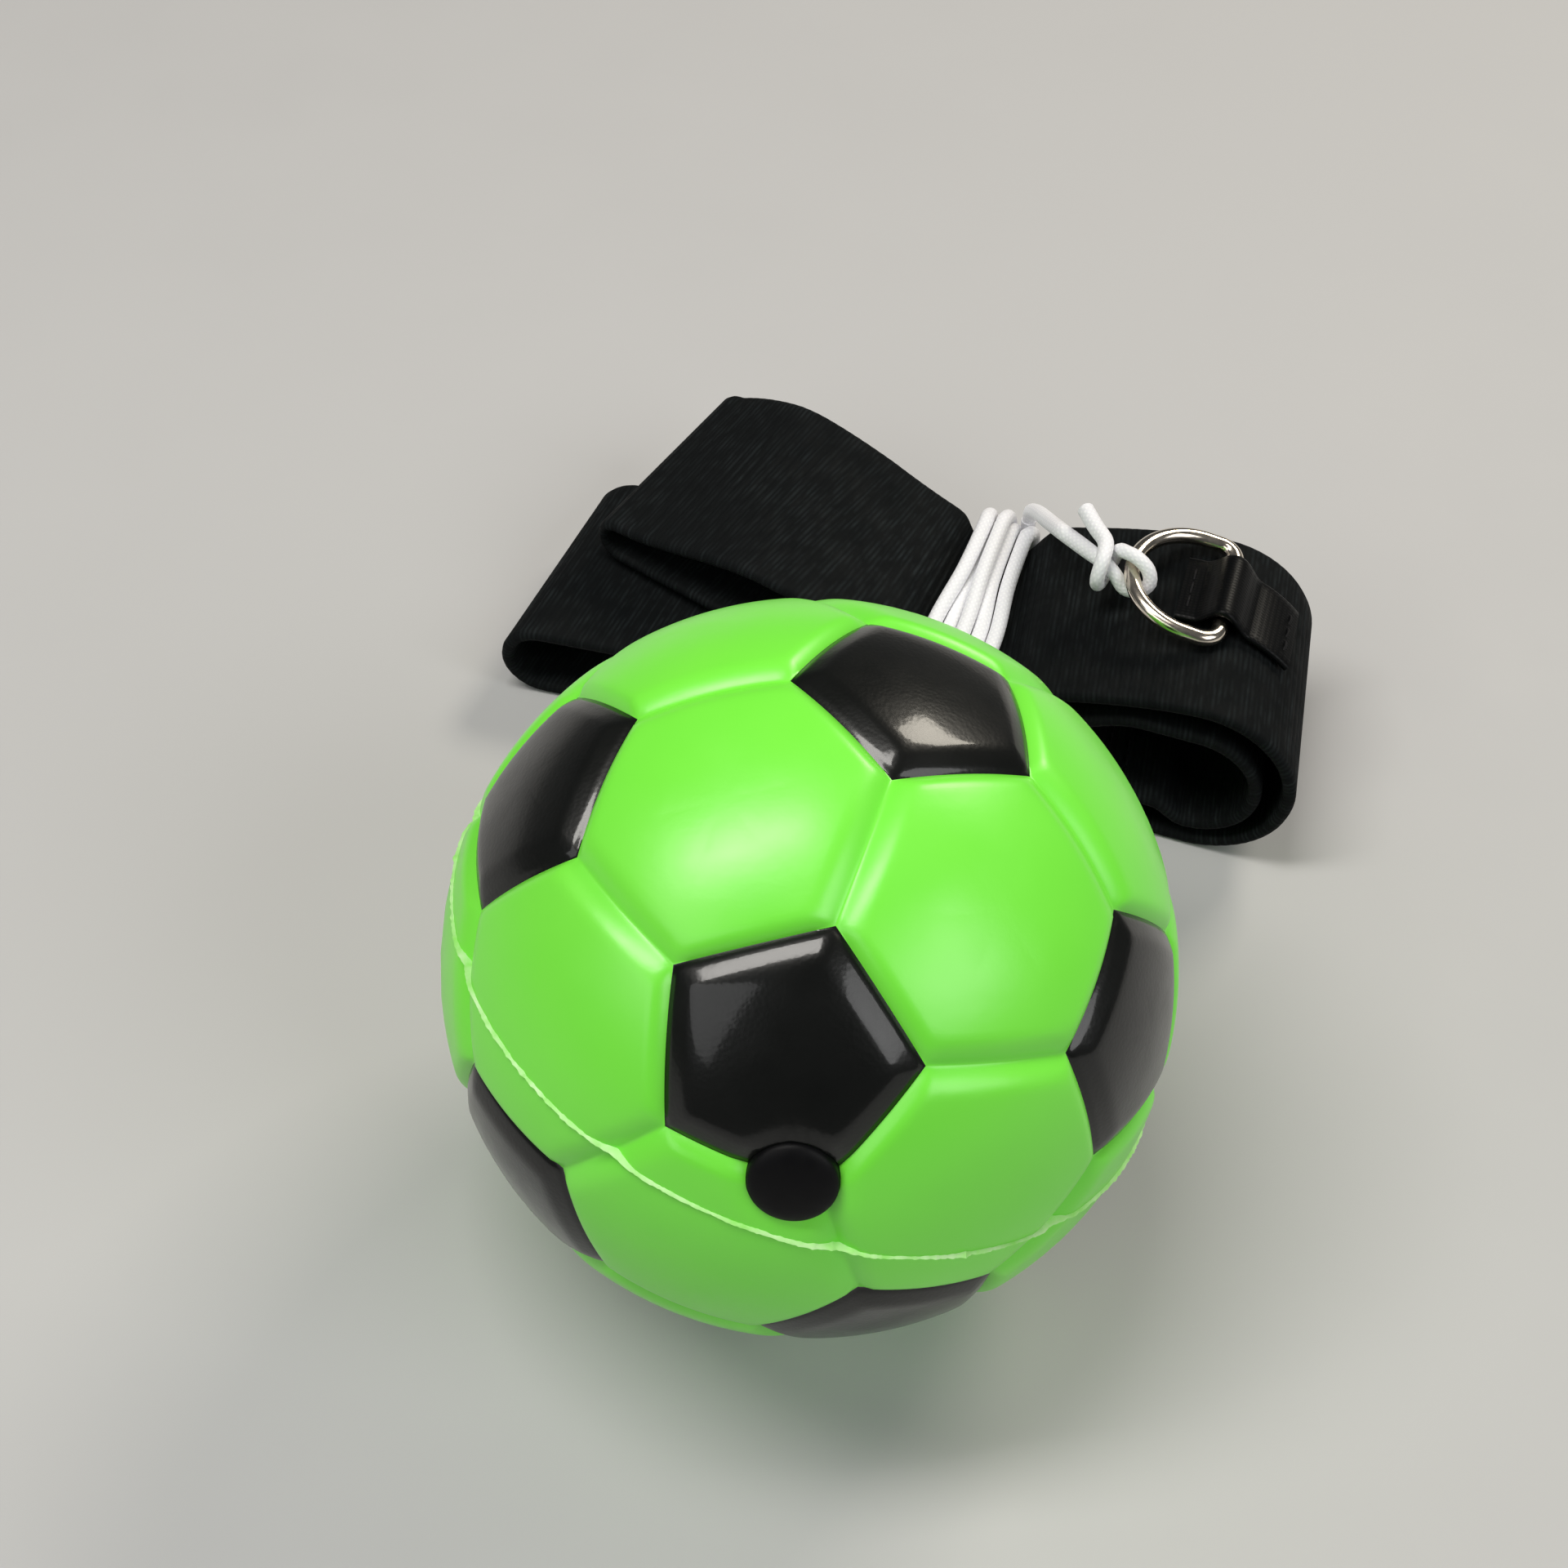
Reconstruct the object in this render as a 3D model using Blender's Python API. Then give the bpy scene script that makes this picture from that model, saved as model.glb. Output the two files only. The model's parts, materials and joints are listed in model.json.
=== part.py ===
"""Reflex ball headband: a foam ball on an elastic cord, wound round its folded elastic headband.

Units are metres, +Z is up and -Y faces the viewer. The ball rests in front of the band, and both
lie on the plane z = 0. Lengths along the band (s), across it (w) and above the floor (z) are given
from the waist, where the cord binds the four folded layers together.
"""

import math

import bmesh
import bpy
from mathutils import Euler, Matrix, Vector

MM = 0.001

# Gap that touching pieces keep
CLEARANCE = 0.3 * MM

# Ball
BALL_DIAMETER = 63.0 * MM
SEAM_DEPTH = 0.8 * MM
SEAM_HALF_WIDTH = 2.4 * MM
PANEL_EDGE_STEPS = 4
PATTERN_TURN = (65.4, 36.8, -44.8)

# Stopper plug, along an axis that leans up from the floor by this many degrees
PLUG_LEAN = 24.0
PLUG_HEAD_DIAMETER = 7.0 * MM
PLUG_RIM = 0.9 * MM
PLUG_CROWN = 0.9 * MM
PLUG_SINK = 0.4 * MM
PLUG_STEM_DIAMETER = 4.6 * MM
PLUG_STEM_LENGTH = 13.0 * MM
PLUG_BLADE_THICKNESS = 2.0 * MM
PLUG_BLADE_LENGTH = 6.5 * MM
EYE_DIAMETER = 3.0 * MM
EYE_TO_END = 2.6 * MM
TURNED_STEPS = 32

# Elastic cord, thinner where it is wound and tied under tension
CORD_DIAMETER = 1.8 * MM
TAUT_DIAMETER = 1.5 * MM
CORD_BORE_DIAMETER = 3.0 * MM
KNOT_TURNS = 2.5
KNOT_DROP = 7.4 * MM

# Headband. A bend turns the middle line away from the waist, a lean turns the width direction.
# A pair of sizes is for the band's near edge and for its far edge
BAND_WIDTH = 25.4 * MM
BAND_THICKNESS = 1.4 * MM
BAND_TURN = -17.0
WAIST_WIDTH = 22.8 * MM
WAIST_FLAT = 4.2 * MM
WAIST_SIDEWAYS = 15.7 * MM
WAIST_BEHIND_BALL = 27.9 * MM
PLY_GAP = 1.4 * MM
PUFF_SHARE = 0.3
LEFT_PUFF_SHARE = (0.3, 0.12)
PUFF_LENGTH = 4.0 * MM
PUFF_EASE = 0.35
BEND_LENGTH = 18.0 * MM
RIGHT_LEAN = 8.0
RIGHT_LEAN_LENGTH = 5.0 * MM
RIGHT_REACH = 35.6 * MM
RIGHT_RISE = 19.6 * MM
RIGHT_TOP_RISE = 25.0 * MM
RIGHT_WIDENING = 7.0 * MM
RIGHT_HEIGHT = 21.3 * MM
RIGHT_INNER_TOP = 17.3 * MM
RIGHT_INNER_LIFT = 2.5 * MM
RIGHT_NEST_GAP = 2.0 * MM
UPPER_REACH = 40.4 * MM
UPPER_BEND = -16.0
UPPER_LEAN = -16.0
UPPER_CREST = (20.6 * MM, 20.5 * MM)
UPPER_CREST_AT = (18.0 * MM, 27.0 * MM)
UPPER_RISE = (15.0 * MM, 31.0 * MM)
UPPER_END_TOP = (16.7 * MM, 18.0 * MM)
UPPER_END_GAP = (3.1 * MM, 3.6 * MM)
LOWER_REACH = 48.7 * MM
LOWER_BEND = 6.0
LOWER_LEAN = -4.0
LOWER_TOP = (9.7 * MM, 10.7 * MM)
LEFT_RISE = 16.0 * MM
LEFT_WIDENING = 7.0 * MM
LAP_START = 20.6 * MM
LAP_LENGTH = 12.0 * MM

# Winding of the cord round the waist. A column is a strand's place on top, counted in pitches from
# the middle of the outer layer, at the near edge and at the far edge. The strands change columns
# under the band. They are pinched together at one place and fan out from it to either edge
START_COLUMN = (1.57, 2.05)
INNER_COLUMNS = ((1.02, 1.5), (0.5, 0.5), (-0.5, -0.5))
OUTER_COLUMNS = ((-1.0, -1.0), (0.0, 0.0))
END_COLUMN = (1.0, 1.0)
CLIMB_SWING = 0.9
LAYER_STEP = 1.55 * MM
NEST_STEP = 1.75 * MM
BOTTOM_STEP = 2.0 * MM
PINCH_PITCH = 1.65 * MM
FAR_PITCH = 2.0 * MM
NEAR_PITCH = 3.3 * MM
PINCH_AT = 8.0 * MM
FAR_FAN = 6.0 * MM
NEAR_FAN = 13.0 * MM
FAR_SHIFT = -0.7 * MM
NEAR_SHIFT = -0.2 * MM
WINDING_SLANT = 0.4 * MM
WINDING_CORNER = 3.0 * MM
WINDING_OVERHANG = 2.4 * MM
WINDING_LIFT = 0.1 * MM

# The cord's way from the winding to the ring: along, near and up from the winding's end
SPAN_SHOULDER = (0.15 * MM, 0.35 * MM, 1.7 * MM)
SPAN_CREST = (1.1 * MM, 1.6 * MM, 3.1 * MM)

# D-ring and the tab that holds its bar
RING_WIRE = 1.7 * MM
RING_WIDTH = 15.5 * MM
RING_DEPTH = 12.0 * MM
RING_CORNER = 2.0 * MM
RING_TILT = 10.0
RING_SKEW = -4.7
RING_FROM_FOLD = 9.5 * MM
RING_ACROSS = 2.9 * MM
TAB_WIDTH = 9.0 * MM
TAB_THICKNESS = 0.8 * MM
TAB_FRONT = 4.8 * MM
TAB_BACK = 7.6 * MM
TAB_HUMP_HALF = 3.0 * MM

# Where the lowest ply's contact with the floor is reported, left of the waist
REST_AT = 30.0 * MM

BALL_RADIUS = BALL_DIAMETER / 2
CORD_RADIUS = CORD_DIAMETER / 2
TAUT_RADIUS = TAUT_DIAMETER / 2
BALL_CENTRE = Vector((0, 0, BALL_RADIUS))
WAIST = Vector((WAIST_SIDEWAYS, BALL_RADIUS + WAIST_BEHIND_BALL))

# Heights of the winding and of the middle of each ply at the waist, from the floor up
HALF_THICK = BAND_THICKNESS / 2
INNER_BOTTOM = WINDING_LIFT + TAUT_RADIUS + BOTTOM_STEP
PLY_STEP = BAND_THICKNESS + PLY_GAP
WAIST_PLY = [INNER_BOTTOM + TAUT_RADIUS + CLEARANCE + HALF_THICK + PLY_STEP * k for k in range(4)]
INNER_TOP = WAIST_PLY[3] + HALF_THICK + CLEARANCE + TAUT_RADIUS
WINDING_HALF_WIDTH = WAIST_WIDTH / 2 + WINDING_OVERHANG

CORD_NODES = []


def clear_scene():
    for obj in list(bpy.data.objects):
        bpy.data.objects.remove(obj, do_unlink=True)


def material(name, colour, roughness, metallic=0.0):
    made = bpy.data.materials.new(name)
    made.use_nodes = True
    shader = made.node_tree.nodes["Principled BSDF"]
    shader.inputs["Base Color"].default_value = (*colour, 1.0)
    shader.inputs["Roughness"].default_value = roughness
    shader.inputs["Metallic"].default_value = metallic
    made.diffuse_color = (*colour, 1.0)
    return made


def link(obj, parent, finish):
    bpy.context.scene.collection.objects.link(obj)
    obj.parent = parent
    if finish:
        obj.data.materials.append(finish)
    return obj


def empty(name, parent, location, rotation=(0, 0, 0)):
    made = link(bpy.data.objects.new(name, None), parent, None)
    made.location = location
    made.rotation_euler = rotation
    return made


def mesh_object(name, points, faces, parent, finish):
    data = bpy.data.meshes.new(name)
    data.from_pydata([tuple(p) for p in points], [], faces)
    shape = bmesh.new()
    shape.from_mesh(data)
    bmesh.ops.remove_doubles(shape, verts=shape.verts, dist=1e-7)
    bmesh.ops.recalc_face_normals(shape, faces=shape.faces)
    shape.to_mesh(data)
    shape.free()
    data.shade_smooth()
    data.set_sharp_from_angle(angle=math.radians(40))
    return link(bpy.data.objects.new(name, data), parent, finish)


def turned(name, profile, parent, finish):
    """A solid of revolution about Z. The profile runs from a point on the axis to another on it."""
    points = [Vector((0, 0, profile[0][1])), Vector((0, 0, profile[-1][1]))]
    faces = []
    rings = profile[1:-1]
    for radius, height in rings:
        for step in range(TURNED_STEPS):
            turn = 2 * math.pi * step / TURNED_STEPS
            points.append(Vector((radius * math.cos(turn), radius * math.sin(turn), height)))
    for step in range(TURNED_STEPS):
        after = (step + 1) % TURNED_STEPS
        faces.append((0, 2 + step, 2 + after))
        for ring in range(len(rings) - 1):
            low = 2 + ring * TURNED_STEPS
            high = low + TURNED_STEPS
            faces.append((low + step, high + step, high + after, low + after))
        last = 2 + (len(rings) - 1) * TURNED_STEPS
        faces.append((1, last + after, last + step))
    return mesh_object(name, points, faces, parent, finish)


def cut(obj, cutter):
    cutter.hide_render = True
    cutter.display_type = "WIRE"
    boolean = obj.modifiers.new("cut_" + cutter.name, "BOOLEAN")
    boolean.operation = "DIFFERENCE"
    boolean.object = cutter


def smoothstep(t):
    t = min(1.0, max(0.0, t))
    return t * t * (3 - 2 * t)


def smooth_route(points, spacing):
    """Evenly spread points on a smooth curve through a route's own points."""
    ends = [2 * points[0] - points[1], *points, 2 * points[-1] - points[-2]]
    route = []
    for a, b, c, d in zip(ends, ends[1:], ends[2:], ends[3:]):
        count = max(2, round((c - b).length / spacing))
        for k in range(count):
            t = k / count
            route.append(
                0.5
                * (2 * b + (c - a) * t + (2 * a - 5 * b + 4 * c - d) * t**2 + (3 * b - a - 3 * c + d) * t**3)
            )
    return [*route, points[-1].copy()]


def tube(name, points, diameter, parent, finish, resolution=2, closed=False):
    data = bpy.data.curves.new(name, "CURVE")
    data.dimensions = "3D"
    data.bevel_depth = diameter / 2
    data.bevel_resolution = resolution
    data.use_fill_caps = not closed
    spline = data.splines.new("POLY")
    spline.points.add(len(points) - 1)
    for knot, place in zip(spline.points, points):
        knot.co = (*place, 1.0)
    spline.use_cyclic_u = closed
    return link(bpy.data.objects.new(name, data), parent, finish)


def cord(name, points, parent, finish, diameter=CORD_DIAMETER, resolution=2):
    CORD_NODES.append(name)
    gap, length = least_gap(points, 3 * diameter)
    print(f"{name}: {length / MM:.0f} mm long, least gap to itself {(gap - diameter) / MM:.2f} mm")
    return tube(name, points, diameter, parent, finish, resolution)


def least_gap(points, apart):
    """Least distance between stretches of one route that are more than this far apart along it."""
    along = [0.0]
    for a, b in zip(points, points[1:]):
        along.append(along[-1] + (b - a).length)
    least = math.inf
    for i, a in enumerate(points):
        for j in range(i + 1, len(points) - 1):
            if along[j] - along[i] < apart:
                continue
            start, end = points[j], points[j + 1]
            run = end - start
            share = min(1.0, max(0.0, (a - start).dot(run) / run.length_squared))
            least = min(least, (a - start - run * share).length)
    return least, along[-1]


# Ball


def panel_corners():
    """Corner directions of each panel of the football pattern, a truncated icosahedron."""
    golden = (1 + math.sqrt(5)) / 2
    tips = []
    for one in (1, -1):
        for long in (golden, -golden):
            tips += [Vector((0, one, long)), Vector((one, long, 0)), Vector((long, 0, one))]
    tips = [tip.normalized() for tip in tips]
    count = len(tips)
    near = [
        [j for j in range(count) if i != j and tips[i].dot(tips[j]) > 0.4] for i in range(count)
    ]

    def corner(i, j):
        return (2 * tips[i] + tips[j]).normalized()

    panels = []
    for i in range(count):
        side = tips[i].orthogonal().normalized()
        up = tips[i].cross(side)
        around = sorted(near[i], key=lambda j: math.atan2(tips[j].dot(up), tips[j].dot(side)))
        panels.append([corner(i, j) for j in around])
    for i in range(count):
        for j in near[i]:
            for k in near[j]:
                if i < j < k and k in near[i]:
                    pairs = ((i, j), (j, i), (j, k), (k, j), (k, i), (i, k))
                    panels.append([corner(a, b) for a, b in pairs])
    return panels


def add_panel(points, faces, corners):
    """One crowned panel: rings from its middle out to the seam, where the surface dips."""
    middle = sum(corners, Vector()).normalized()
    edge = ((corners[0] + corners[1]) / 2).normalized()
    reach = BALL_RADIUS * middle.angle(edge)
    shoulder = 1 - SEAM_HALF_WIDTH / reach
    brow = 1 - 0.4 * SEAM_HALF_WIDTH / reach
    rings = ((0.5, 0.0), (shoulder, 0.05), (brow, 0.45), (1.0, 1.0))
    rim = []
    for a, b in zip(corners, corners[1:] + corners[:1]):
        rim += [a.lerp(b, k / PANEL_EDGE_STEPS) for k in range(PANEL_EDGE_STEPS)]
    first = len(points)
    points.append(middle * BALL_RADIUS)
    for share, dip in rings:
        for place in rim:
            radius = BALL_RADIUS - SEAM_DEPTH * dip
            points.append(middle.lerp(place, share).normalized() * radius)
    count = len(rim)
    for k in range(count):
        after = (k + 1) % count
        faces.append((first, first + 1 + k, first + 1 + after))
        for ring in range(len(rings) - 1):
            low = first + 1 + ring * count
            high = low + count
            faces.append((low + k, high + k, high + after, low + after))


def make_ball(root, axis, finish):
    points, faces = [], []
    for corners in panel_corners():
        add_panel(points, faces, corners)
    ball = mesh_object("ball", points, faces, root, finish)
    ball.location = BALL_CENTRE
    ball.rotation_euler = Euler([math.radians(a) for a in PATTERN_TURN])
    seat = PLUG_UNDERSIDE - CLEARANCE
    head = PLUG_HEAD_DIAMETER / 2 + CLEARANCE
    socket = PLUG_STEM_DIAMETER / 2 + CLEARANCE
    chamber = KNOT_HALF_LONG + CORD_RADIUS + CLEARANCE
    bore = CORD_BORE_DIAMETER / 2
    past = BALL_RADIUS * 1.2
    chamber_top = EYE_HEIGHT + LOOP_RADIUS + CORD_RADIUS
    chamber_end = KNOT_END - 2 * CORD_DIAMETER
    profile = [(0, past), (head, past), (head, seat), (socket, seat), (socket, chamber_top)]
    profile += [(chamber, chamber_top), (chamber, chamber_end), (bore, chamber_end)]
    profile += [(bore, -past), (0, -past)]
    cut(ball, turned("bore_cutter", profile, axis, None))
    return ball


# Stopper plug and the cord inside the ball, along the bore axis from the ball's centre

PLUG_UNDERSIDE = BALL_RADIUS - PLUG_SINK - PLUG_RIM
STEM_END = PLUG_UNDERSIDE - PLUG_STEM_LENGTH
EYE_HEIGHT = STEM_END + EYE_TO_END
LOOP_RADIUS = PLUG_BLADE_THICKNESS / 2 + CLEARANCE + CORD_RADIUS
LEG_HALF = CORD_RADIUS + CLEARANCE
KNOT_HALF_LONG = LEG_HALF + 2 * CORD_RADIUS + CLEARANCE
KNOT_HALF_SHORT = 2 * CORD_RADIUS + CLEARANCE
KNOT_START = EYE_HEIGHT - KNOT_DROP
KNOT_PITCH = CORD_DIAMETER * 1.25
KNOT_END = KNOT_START - KNOT_TURNS * KNOT_PITCH


def box(name, low, high, parent):
    points = [
        Vector((x, y, z)) for x in (low[0], high[0]) for y in (low[1], high[1]) for z in (low[2], high[2])
    ]
    faces = [(0, 1, 3, 2), (4, 6, 7, 5), (0, 4, 5, 1), (2, 3, 7, 6), (0, 2, 6, 4), (1, 5, 7, 3)]
    return mesh_object(name, points, faces, parent, None)


def make_plug(axis, finish):
    head = PLUG_HEAD_DIAMETER / 2
    stem = PLUG_STEM_DIAMETER / 2
    rim_top = PLUG_UNDERSIDE + PLUG_RIM
    dome = []
    for k in range(1, 7):
        turn = math.radians(90 - 15 * k)
        dome.append((head * math.cos(turn), rim_top + PLUG_CROWN * math.sin(turn)))
    profile = [(0, rim_top + PLUG_CROWN), *dome, (head, PLUG_UNDERSIDE), (stem, PLUG_UNDERSIDE)]
    profile += [(stem, STEM_END + 0.5 * MM), (stem - 0.5 * MM, STEM_END), (0, STEM_END)]
    plug = turned("stopper_plug", profile, axis, finish)
    blade_top = STEM_END + PLUG_BLADE_LENGTH
    half = PLUG_BLADE_THICKNESS / 2
    below = STEM_END - PLUG_RIM
    for name, side in (("left_flat_cutter", -1), ("right_flat_cutter", 1)):
        ends = sorted((side * half, side * 2 * stem))
        cut(plug, box(name, (ends[0], -2 * stem, below), (ends[1], 2 * stem, blade_top), axis))
    eye = EYE_DIAMETER / 2
    drill = turned("eye_cutter", [(0, stem), (eye, stem), (eye, -stem), (0, -stem)], axis, None)
    drill.location = (0, 0, EYE_HEIGHT)
    drill.rotation_euler = (0, math.radians(90), 0)
    cut(plug, drill)
    return plug


def make_inner_cord(axis, finish):
    """The run through the ball: up the bore, through the plug's eye and down again to a short tail."""
    low = -BALL_RADIUS + SEAM_DEPTH
    level = EYE_HEIGHT - LOOP_RADIUS
    bend = [math.radians(a) for a in (180, 150, 120, 90, 60, 30, 0)]
    arch = [Vector((LOOP_RADIUS * math.cos(a), 0, level + LOOP_RADIUS * math.sin(a))) for a in bend]
    straight = KNOT_END - CORD_DIAMETER
    up = [Vector((0, 0, z)) for z in (low, low / 2, 0, straight - 2 * CORD_DIAMETER)]
    up += [Vector((-LEG_HALF, 0, z)) for z in (KNOT_END, (KNOT_START + KNOT_END) / 2, KNOT_START)]
    down = [Vector((LEG_HALF, 0, z)) for z in (KNOT_START, (KNOT_START + KNOT_END) / 2, KNOT_END)]
    route = smooth_route([*up, *arch, *down], 2 * CORD_DIAMETER)
    cord("cord_core", route, axis, finish)
    steps = round(24 * KNOT_TURNS)
    coil = []
    for k in range(steps + 1):
        turn = 2 * math.pi * k / 24
        height = KNOT_START - (KNOT_START - KNOT_END) * k / steps
        coil.append(Vector((KNOT_HALF_LONG * math.cos(turn), KNOT_HALF_SHORT * math.sin(turn), height)))
    cord("stop_knot", coil, axis, finish, resolution=1)


# Headband


UPPER = (UPPER_BEND, UPPER_LEAN)
LOWER = (LOWER_BEND, LOWER_LEAN)
STRAIGHT = (0.0, 0.0)
NEAR, FAR = 0, 1


def both(value):
    return value, value


def band_axis(s, branch=STRAIGHT):
    """Middle of the band in plan at s from the waist, and the direction across it."""
    bend, lean = branch if s < 0 else (0.0, RIGHT_LEAN)
    lean_length = BEND_LENGTH if s < 0 else RIGHT_LEAN_LENGTH
    at = WAIST.copy()
    steps = 24
    for k in range(steps):
        share = min(1.0, abs(s) * (k + 0.5) / steps / BEND_LENGTH)
        turn = math.radians(BAND_TURN + bend * share)
        at += Vector((math.cos(turn), math.sin(turn))) * s / steps
    turn = math.radians(BAND_TURN + lean * min(1.0, abs(s) / lean_length))
    return at, Vector((-math.sin(turn), math.cos(turn)))


def on_band(s, w, z, branch=STRAIGHT):
    at, across = band_axis(s, branch)
    at = at + across * w
    return Vector((at.x, at.y, z))


RIGHT_PLY = (
    HALF_THICK,
    HALF_THICK + RIGHT_INNER_LIFT,
    RIGHT_INNER_TOP - HALF_THICK,
    RIGHT_HEIGHT - HALF_THICK,
)
LEFT_PLY = [
    (
        HALF_THICK,
        LOWER_TOP[edge] - HALF_THICK,
        UPPER_END_TOP[edge] - UPPER_END_GAP[edge] - 3 * HALF_THICK,
        UPPER_CREST[edge] - HALF_THICK,
    )
    for edge in (NEAR, FAR)
]
OUTER_TURN = (RIGHT_PLY[3] - RIGHT_PLY[0]) / 2
INNER_TURN = (RIGHT_PLY[2] - RIGHT_PLY[1]) / 2
UPPER_TURN = [(gap + BAND_THICKNESS) / 2 for gap in UPPER_END_GAP]
LOWER_TURN = [(top - BAND_THICKNESS) / 2 for top in LOWER_TOP]
OUTER_TURN_AT = RIGHT_REACH - OUTER_TURN
RING_ALONG = RIGHT_REACH - RING_FROM_FOLD
INNER_TURN_AT = RIGHT_REACH - BAND_THICKNESS - RIGHT_NEST_GAP - INNER_TURN


def spread(s, reach):
    """How far the plies have opened at s: 0 under the winding, 1 from this reach on."""
    return smoothstep((abs(s) - WAIST_FLAT) / (reach - WAIST_FLAT))


def puffed(s, reach, share=PUFF_SHARE):
    """How far the top ply has opened: a share of it right beside the winding, the rest up to this reach."""
    past = abs(s) - WAIST_FLAT
    even = min(1.0, max(0.0, past / (reach - WAIST_FLAT)))
    even *= 1 + PUFF_EASE - PUFF_EASE * even**2
    return share * smoothstep(past / PUFF_LENGTH) + (1 - share) * even


def ply_height(ply, s, edge=NEAR):
    """Height of a ply's middle at one edge of the band, counted up from the floor ply."""
    waist = WAIST_PLY[ply]
    if s >= 0:
        opened = puffed(s, RIGHT_TOP_RISE) if ply == 3 else spread(s, RIGHT_RISE)
        return waist + (RIGHT_PLY[ply] - waist) * opened
    if ply < 3:
        return waist + (LEFT_PLY[edge][ply] - waist) * spread(s, LEFT_RISE)
    rest = UPPER_REACH - UPPER_CREST_AT[edge] - UPPER_TURN[edge]
    fall = (UPPER_CREST[edge] - UPPER_END_TOP[edge]) * smoothstep((-s - UPPER_CREST_AT[edge]) / rest)
    opened = puffed(s, UPPER_RISE[edge], LEFT_PUFF_SHARE[edge])
    return waist + (LEFT_PLY[edge][ply] - waist) * opened - fall


def run(ply, start, end, branch, step=1.9 * MM):
    """Stations along a ply, each with s and height at the near edge and at the far edge."""
    count = max(1, round(abs(end[NEAR] - start[NEAR]) / step))
    stations = []
    for k in range(count + 1):
        places = [a + (b - a) * k / count for a, b in zip(start, end)]
        edges = [(s, ply_height(ply, s, edge)) for edge, s in enumerate(places)]
        stations.append((*edges, branch))
    return stations


def u_turn(at, low, radius, start, end, branch, steps):
    """Stations round a fold, with the fold's place, lower ply and radius at either edge."""
    stations = []
    for k in range(1, steps):
        turn = math.radians(start + (end - start) * k / steps)
        edges = [
            (s + r * math.cos(turn), z + r + r * math.sin(turn)) for s, z, r in zip(at, low, radius)
        ]
        stations.append((*edges, branch))
    return stations


def band_stations():
    """The band from its under lap end, once round all four plies, to the upper lap end."""
    lower_at = [turn - LOWER_REACH for turn in LOWER_TURN]
    upper_at = [turn - UPPER_REACH for turn in UPPER_TURN]
    outer_at, inner_at = both(OUTER_TURN_AT), both(INNER_TURN_AT)
    upper_low = [plies[2] for plies in LEFT_PLY]
    lap_lift = BAND_THICKNESS + CLEARANCE
    stations = run(1, both(LAP_START), lower_at, LOWER)
    stations += u_turn(lower_at, both(HALF_THICK), LOWER_TURN, 90, 270, LOWER, 10)
    stations += run(0, lower_at, outer_at, LOWER)
    stations += u_turn(outer_at, both(RIGHT_PLY[0]), both(OUTER_TURN), -90, 90, STRAIGHT, 14)
    stations += run(3, outer_at, upper_at, UPPER)
    stations += u_turn(upper_at, upper_low, UPPER_TURN, 90, 270, UPPER, 8)
    stations += run(2, upper_at, inner_at, UPPER)
    stations += u_turn(inner_at, both(RIGHT_PLY[1]), both(INNER_TURN), 90, -90, STRAIGHT, 12)
    climb = INNER_TURN_AT - LAP_START - BAND_THICKNESS
    for near, far, branch in run(1, inner_at, both(LAP_START - LAP_LENGTH), LOWER):
        lift = lap_lift * smoothstep((INNER_TURN_AT - near[0]) / climb)
        stations.append(((near[0], near[1] + lift), (far[0], far[1] + lift), branch))
    return stations


def strip(name, sections, parent, finish):
    """A closed strip through sections of four corners each."""
    points = [corner for section in sections for corner in section]
    faces = [(0, 1, 2, 3)]
    for k in range(len(sections) - 1):
        low = 4 * k
        for a in range(4):
            b = (a + 1) % 4
            faces.append((low + a, low + b, low + 4 + b, low + 4 + a))
    last = len(points) - 4
    faces.append((last + 3, last + 2, last + 1, last))
    return mesh_object(name, points, faces, parent, finish)


def make_headband(root, finish):
    middles, sides = [], []
    for near, far, branch in band_stations():
        s = (near[0] + far[0]) / 2
        open_share = spread(s, RIGHT_WIDENING if s > 0 else LEFT_WIDENING)
        half = (WAIST_WIDTH + (BAND_WIDTH - WAIST_WIDTH) * open_share) / 2
        low = on_band(near[0], -half, near[1], branch)
        high = on_band(far[0], half, far[1], branch)
        middles.append((low + high) / 2)
        sides.append((high - low).normalized() * half)
    sections = []
    for k, (middle, side) in enumerate(zip(middles, sides)):
        along = middles[min(k + 1, len(middles) - 1)] - middles[max(k - 1, 0)]
        normal = side.cross(along).normalized() * HALF_THICK
        sections.append([middle + a * side + b * normal for a, b in ((-1, -1), (1, -1), (1, 1), (-1, 1))])
    length = sum((b - a).length for a, b in zip(middles, middles[1:]))
    print(f"headband: {length / MM:.0f} mm of band, {(length - LAP_LENGTH) / MM:.0f} mm round")
    return strip("headband", sections, root, finish)


# D-ring and tab


def band_top(q):
    """Place and normal, in s and z, on the top of the upper ply at q past the ring's bar, along it."""
    s = RING_ALONG + q
    over = (s - OUTER_TURN_AT) / (OUTER_TURN + HALF_THICK)
    if over <= 0:
        return s, ply_height(3, s) + HALF_THICK, 0.0, 1.0
    reach = OUTER_TURN + HALF_THICK
    middle = RIGHT_PLY[0] + OUTER_TURN
    side, up = math.sin(over), math.cos(over)
    return OUTER_TURN_AT + reach * side, middle + reach * up, side, up


def ring_bar_height():
    return RIGHT_HEIGHT + CLEARANCE + RING_WIRE / 2


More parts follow.
